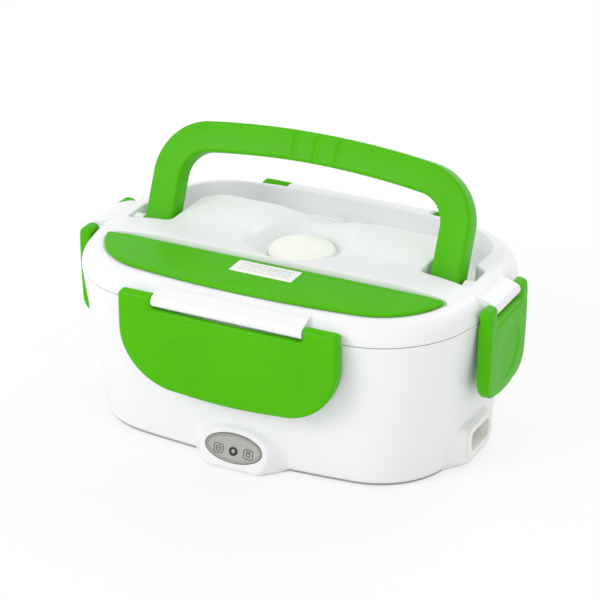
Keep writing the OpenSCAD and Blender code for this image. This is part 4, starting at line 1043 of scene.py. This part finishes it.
def studio():
    settings = bpy.context.scene.lunch_box_sizes
    scene = bpy.context.scene
    mesh = bpy.data.meshes.new("floor")
    n = settings.floor_half
    mesh.from_pydata([(-n, -n, 0), (n, -n, 0), (n, n, 0), (-n, n, 0)], [], [(0, 1, 2, 3)])
    floor = bpy.data.objects.new("floor", mesh)
    scene.collection.objects.link(floor)
    mat = bpy.data.materials.new("pale_floor")
    mat.use_nodes = True
    nd, ln = mat.node_tree.nodes, mat.node_tree.links
    sh = nd["Principled BSDF"]
    sh.inputs["Roughness"].default_value = 0.7
    sh.inputs["Specular IOR Level"].default_value = 0.1
    noise = nd.new("ShaderNodeTexNoise")
    noise.inputs["Scale"].default_value = 40
    ramp = nd.new("ShaderNodeValToRGB")
    ramp.color_ramp.elements[0].color = (0.9, 0.9, 0.905, 1)
    ramp.color_ramp.elements[1].color = (0.93, 0.93, 0.93, 1)
    ln.new(noise.outputs["Fac"], ramp.inputs["Fac"])
    ln.new(ramp.outputs["Color"], sh.inputs["Base Color"])
    glow = nd.new("ShaderNodeEmission")
    glow.inputs["Strength"].default_value = 1.0
    mix = nd.new("ShaderNodeMixShader")
    path = nd.new("ShaderNodeLightPath")
    share = nd.new("ShaderNodeMath")
    share.operation = "MULTIPLY"
    share.inputs[1].default_value = settings.floor_glow
    ln.new(path.outputs["Is Camera Ray"], share.inputs[0])
    ln.new(share.outputs[0], mix.inputs["Fac"])
    ln.new(sh.outputs["BSDF"], mix.inputs[1])
    ln.new(glow.outputs["Emission"], mix.inputs[2])
    ln.new(mix.outputs["Shader"], nd["Material Output"].inputs["Surface"])
    mesh.materials.append(mat)

    world = bpy.data.worlds.new("studio")
    scene.world = world
    world.use_nodes = True
    nd, ln = world.node_tree.nodes, world.node_tree.links
    nd.clear()
    out = nd.new("ShaderNodeOutputWorld")
    light, seen = nd.new("ShaderNodeBackground"), nd.new("ShaderNodeBackground")
    light.inputs["Color"].default_value = (1, 1, 1, 1)
    light.inputs["Strength"].default_value = settings.sky_level
    seen.inputs["Color"].default_value = (1, 1, 1, 1)
    seen.inputs["Strength"].default_value = 1.0
    path, mix = nd.new("ShaderNodeLightPath"), nd.new("ShaderNodeMixShader")
    either = nd.new("ShaderNodeMath")
    either.operation, either.use_clamp = "ADD", True
    both = nd.new("ShaderNodeMath")
    both.operation, both.use_clamp = "ADD", True
    ln.new(path.outputs["Is Camera Ray"], either.inputs[0])
    ln.new(path.outputs["Is Glossy Ray"], either.inputs[1])
    ln.new(either.outputs[0], both.inputs[0])
    ln.new(path.outputs["Is Transmission Ray"], both.inputs[1])
    ln.new(both.outputs[0], mix.inputs["Fac"])
    ln.new(light.outputs["Background"], mix.inputs[1])
    ln.new(seen.outputs["Background"], mix.inputs[2])
    ln.new(mix.outputs["Shader"], out.inputs["Surface"])

    for name, place, size, power in (("key", (-0.9, -1.5, 1.1), 0.9, settings.key_power), ("fill", (1.4, -0.6, 0.9), 1.0, settings.fill_power),
                                     ("rim", (0.2, 1.3, 1.2), 0.8, settings.rim_power)):
        data = bpy.data.lights.new(name, "AREA")
        data.shape, data.size, data.energy = "DISK", size, power
        lamp = bpy.data.objects.new(name, data)
        lamp.location = place
        lamp.rotation_euler = (Vector((0, 0, 0.06)) - Vector(place)).to_track_quat("-Z", "Y").to_euler()
        scene.collection.objects.link(lamp)

    cam = bpy.data.cameras.new("camera")
    cam.lens, cam.sensor_width = 158.14, 36.0
    cam.clip_end = 20
    obj = bpy.data.objects.new("camera", cam)
    fwd, right = Vector((-0.40364, 0.80776, -0.42964)), Vector((0.89453, 0.44700, 0))
    fwd.normalize()
    right.normalize()
    up = right.cross(fwd)
    obj.matrix_world = Matrix.Translation((0.55153, -1.10268, 0.65010)) @ Matrix((right, up, -fwd)).transposed().to_4x4()
    scene.collection.objects.link(obj)
    scene.camera = obj
    scene.view_settings.view_transform = "Standard"


class LunchBoxSizes(bpy.types.PropertyGroup):
    """Levels of the studio around the box."""
    floor_half: FloatProperty(name="Floor", description="Half of the floor's width", default=3.0, unit="LENGTH")
    floor_glow: FloatProperty(name="Floor whiteness", description="Share of pure white in the floor as the camera sees it",
                              default=0.72, min=0, max=1, subtype="FACTOR")
    sky_level: FloatProperty(name="Sky level", description="Strength of the even light from all around", default=0.86, min=0)
    key_power: FloatProperty(name="Key lamp", description="Power of the main lamp at the front left", default=12.0, unit="POWER")
    fill_power: FloatProperty(name="Fill lamp", description="Power of the soft lamp at the right", default=1.0, unit="POWER")
    rim_power: FloatProperty(name="Rear lamp", description="Power of the lamp behind the box", default=5.0, unit="POWER")


class LunchBoxColours(bpy.types.PropertyGroup):
    """Colours of the box, as they look on screen."""
    shell: FloatVectorProperty(name="Shell", description="White of the base and the lid", default=(0.93, 0.93, 0.94),
                               subtype="COLOR_GAMMA", min=0, max=1)
    clips: FloatVectorProperty(name="Clips and handle", description="Green of the latches, handle and cover",
                               default=(0.30, 0.70, 0.0), subtype="COLOR_GAMMA", min=0, max=1)
    valve: FloatVectorProperty(name="Valve", description="Cream of the soft valve and seal", default=(0.955, 0.955, 0.925),
                               subtype="COLOR_GAMMA", min=0, max=1)
    panel: FloatVectorProperty(name="Panel", description="Grey of the indicator panel", default=(0.67, 0.67, 0.65),
                               subtype="COLOR_GAMMA", min=0, max=1)


class LUNCHBOX_OT_tub(bpy.types.Operator):
    """Build the tapered tub with its two bosses and catch ribs"""
    bl_idname = "lunch_box.tub"
    bl_label = "Base tub"

    def execute(self, context):
        base_tub()
        base_lining()
        return {"FINISHED"}


class LUNCHBOX_OT_indicator(bpy.types.Operator):
    """Build the oval indicator panel and its light guide"""
    bl_idname = "lunch_box.indicator"
    bl_label = "Indicator"

    def execute(self, context):
        indicator()
        return {"FINISHED"}


class LUNCHBOX_OT_inlet(bpy.types.Operator):
    """Build the mains inlet socket and its pins"""
    bl_idname = "lunch_box.inlet"
    bl_label = "Mains inlet"

    def execute(self, context):
        mains_inlet()
        return {"FINISHED"}


class LUNCHBOX_OT_heater(bpy.types.Operator):
    """Give the heater, the underside and the inner fittings their finishes"""
    bl_idname = "lunch_box.heater"
    bl_label = "Heater and underside"

    def execute(self, context):
        carried_over_base()
        return {"FINISHED"}


class LUNCHBOX_OT_containers(bpy.types.Operator):
    """Build the food tray and the side dish with its lid"""
    bl_idname = "lunch_box.containers"
    bl_label = "Food containers"

    def execute(self, context):
        food_containers()
        return {"FINISHED"}


class LUNCHBOX_OT_lid(bpy.types.Operator):
    """Build the lid shell, its inner panel and its seal"""
    bl_idname = "lunch_box.lid"
    bl_label = "Lid"

    def execute(self, context):
        lid_shell()
        lid_lining()
        return {"FINISHED"}


class LUNCHBOX_OT_valve(bpy.types.Operator):
    """Build the soft steam valve"""
    bl_idname = "lunch_box.valve"
    bl_label = "Steam valve"

    def execute(self, context):
        valve()
        return {"FINISHED"}


class LUNCHBOX_OT_cover(bpy.types.Operator):
    """Build the cutlery cover with its label, and the spoon under it"""
    bl_idname = "lunch_box.cover"
    bl_label = "Cutlery cover and spoon"

    def execute(self, context):
        cover()
        cutlery()
        return {"FINISHED"}


class LUNCHBOX_OT_handle(bpy.types.Operator):
    """Build the folding carry handle"""
    bl_idname = "lunch_box.handle"
    bl_label = "Carry handle"

    def execute(self, context):
        handle()
        return {"FINISHED"}


class LUNCHBOX_OT_latches(bpy.types.Operator):
    """Build the four latches"""
    bl_idname = "lunch_box.latches"
    bl_label = "Latches"

    def execute(self, context):
        all_latches()
        return {"FINISHED"}


class LUNCHBOX_OT_studio(bpy.types.Operator):
    """Build the floor, the lamps and the camera"""
    bl_idname = "lunch_box.studio"
    bl_label = "Studio"

    def execute(self, context):
        studio()
        return {"FINISHED"}


class LUNCHBOX_PT_panel(bpy.types.Panel):
    """Sidebar panel with the box's pieces and colours"""
    bl_idname = "LUNCHBOX_PT_panel"
    bl_label = "Lunch box"
    bl_space_type = "VIEW_3D"
    bl_region_type = "UI"
    bl_category = "Lunch box"

    def draw(self, context):
        col = self.layout.column()
        for name in ("shell", "clips", "valve", "panel"):
            col.prop(context.scene.lunch_box_colours, name)
        for name in ("floor_half", "floor_glow", "sky_level", "key_power", "fill_power", "rim_power"):
            col.prop(context.scene.lunch_box_sizes, name)
        for op in OPERATORS:
            col.operator(op.bl_idname)


OPERATORS = (LUNCHBOX_OT_studio, LUNCHBOX_OT_tub, LUNCHBOX_OT_indicator, LUNCHBOX_OT_inlet, LUNCHBOX_OT_heater, LUNCHBOX_OT_containers,
             LUNCHBOX_OT_lid, LUNCHBOX_OT_valve, LUNCHBOX_OT_cover, LUNCHBOX_OT_handle, LUNCHBOX_OT_latches)
CLASSES = (LunchBoxSizes, LunchBoxColours) + OPERATORS + (LUNCHBOX_PT_panel,)


def register():
    for cls in CLASSES:
        bpy.utils.register_class(cls)
    bpy.types.Scene.lunch_box_sizes = PointerProperty(type=LunchBoxSizes)
    bpy.types.Scene.lunch_box_colours = PointerProperty(type=LunchBoxColours)


def unregister():
    del bpy.types.Scene.lunch_box_colours
    del bpy.types.Scene.lunch_box_sizes
    for cls in reversed(CLASSES):
        bpy.utils.unregister_class(cls)


def main():
    register()
    for op in OPERATORS:
        group, name = op.bl_idname.split(".")
        getattr(getattr(bpy.ops, group), name)()


if __name__ == "__main__":
    main()
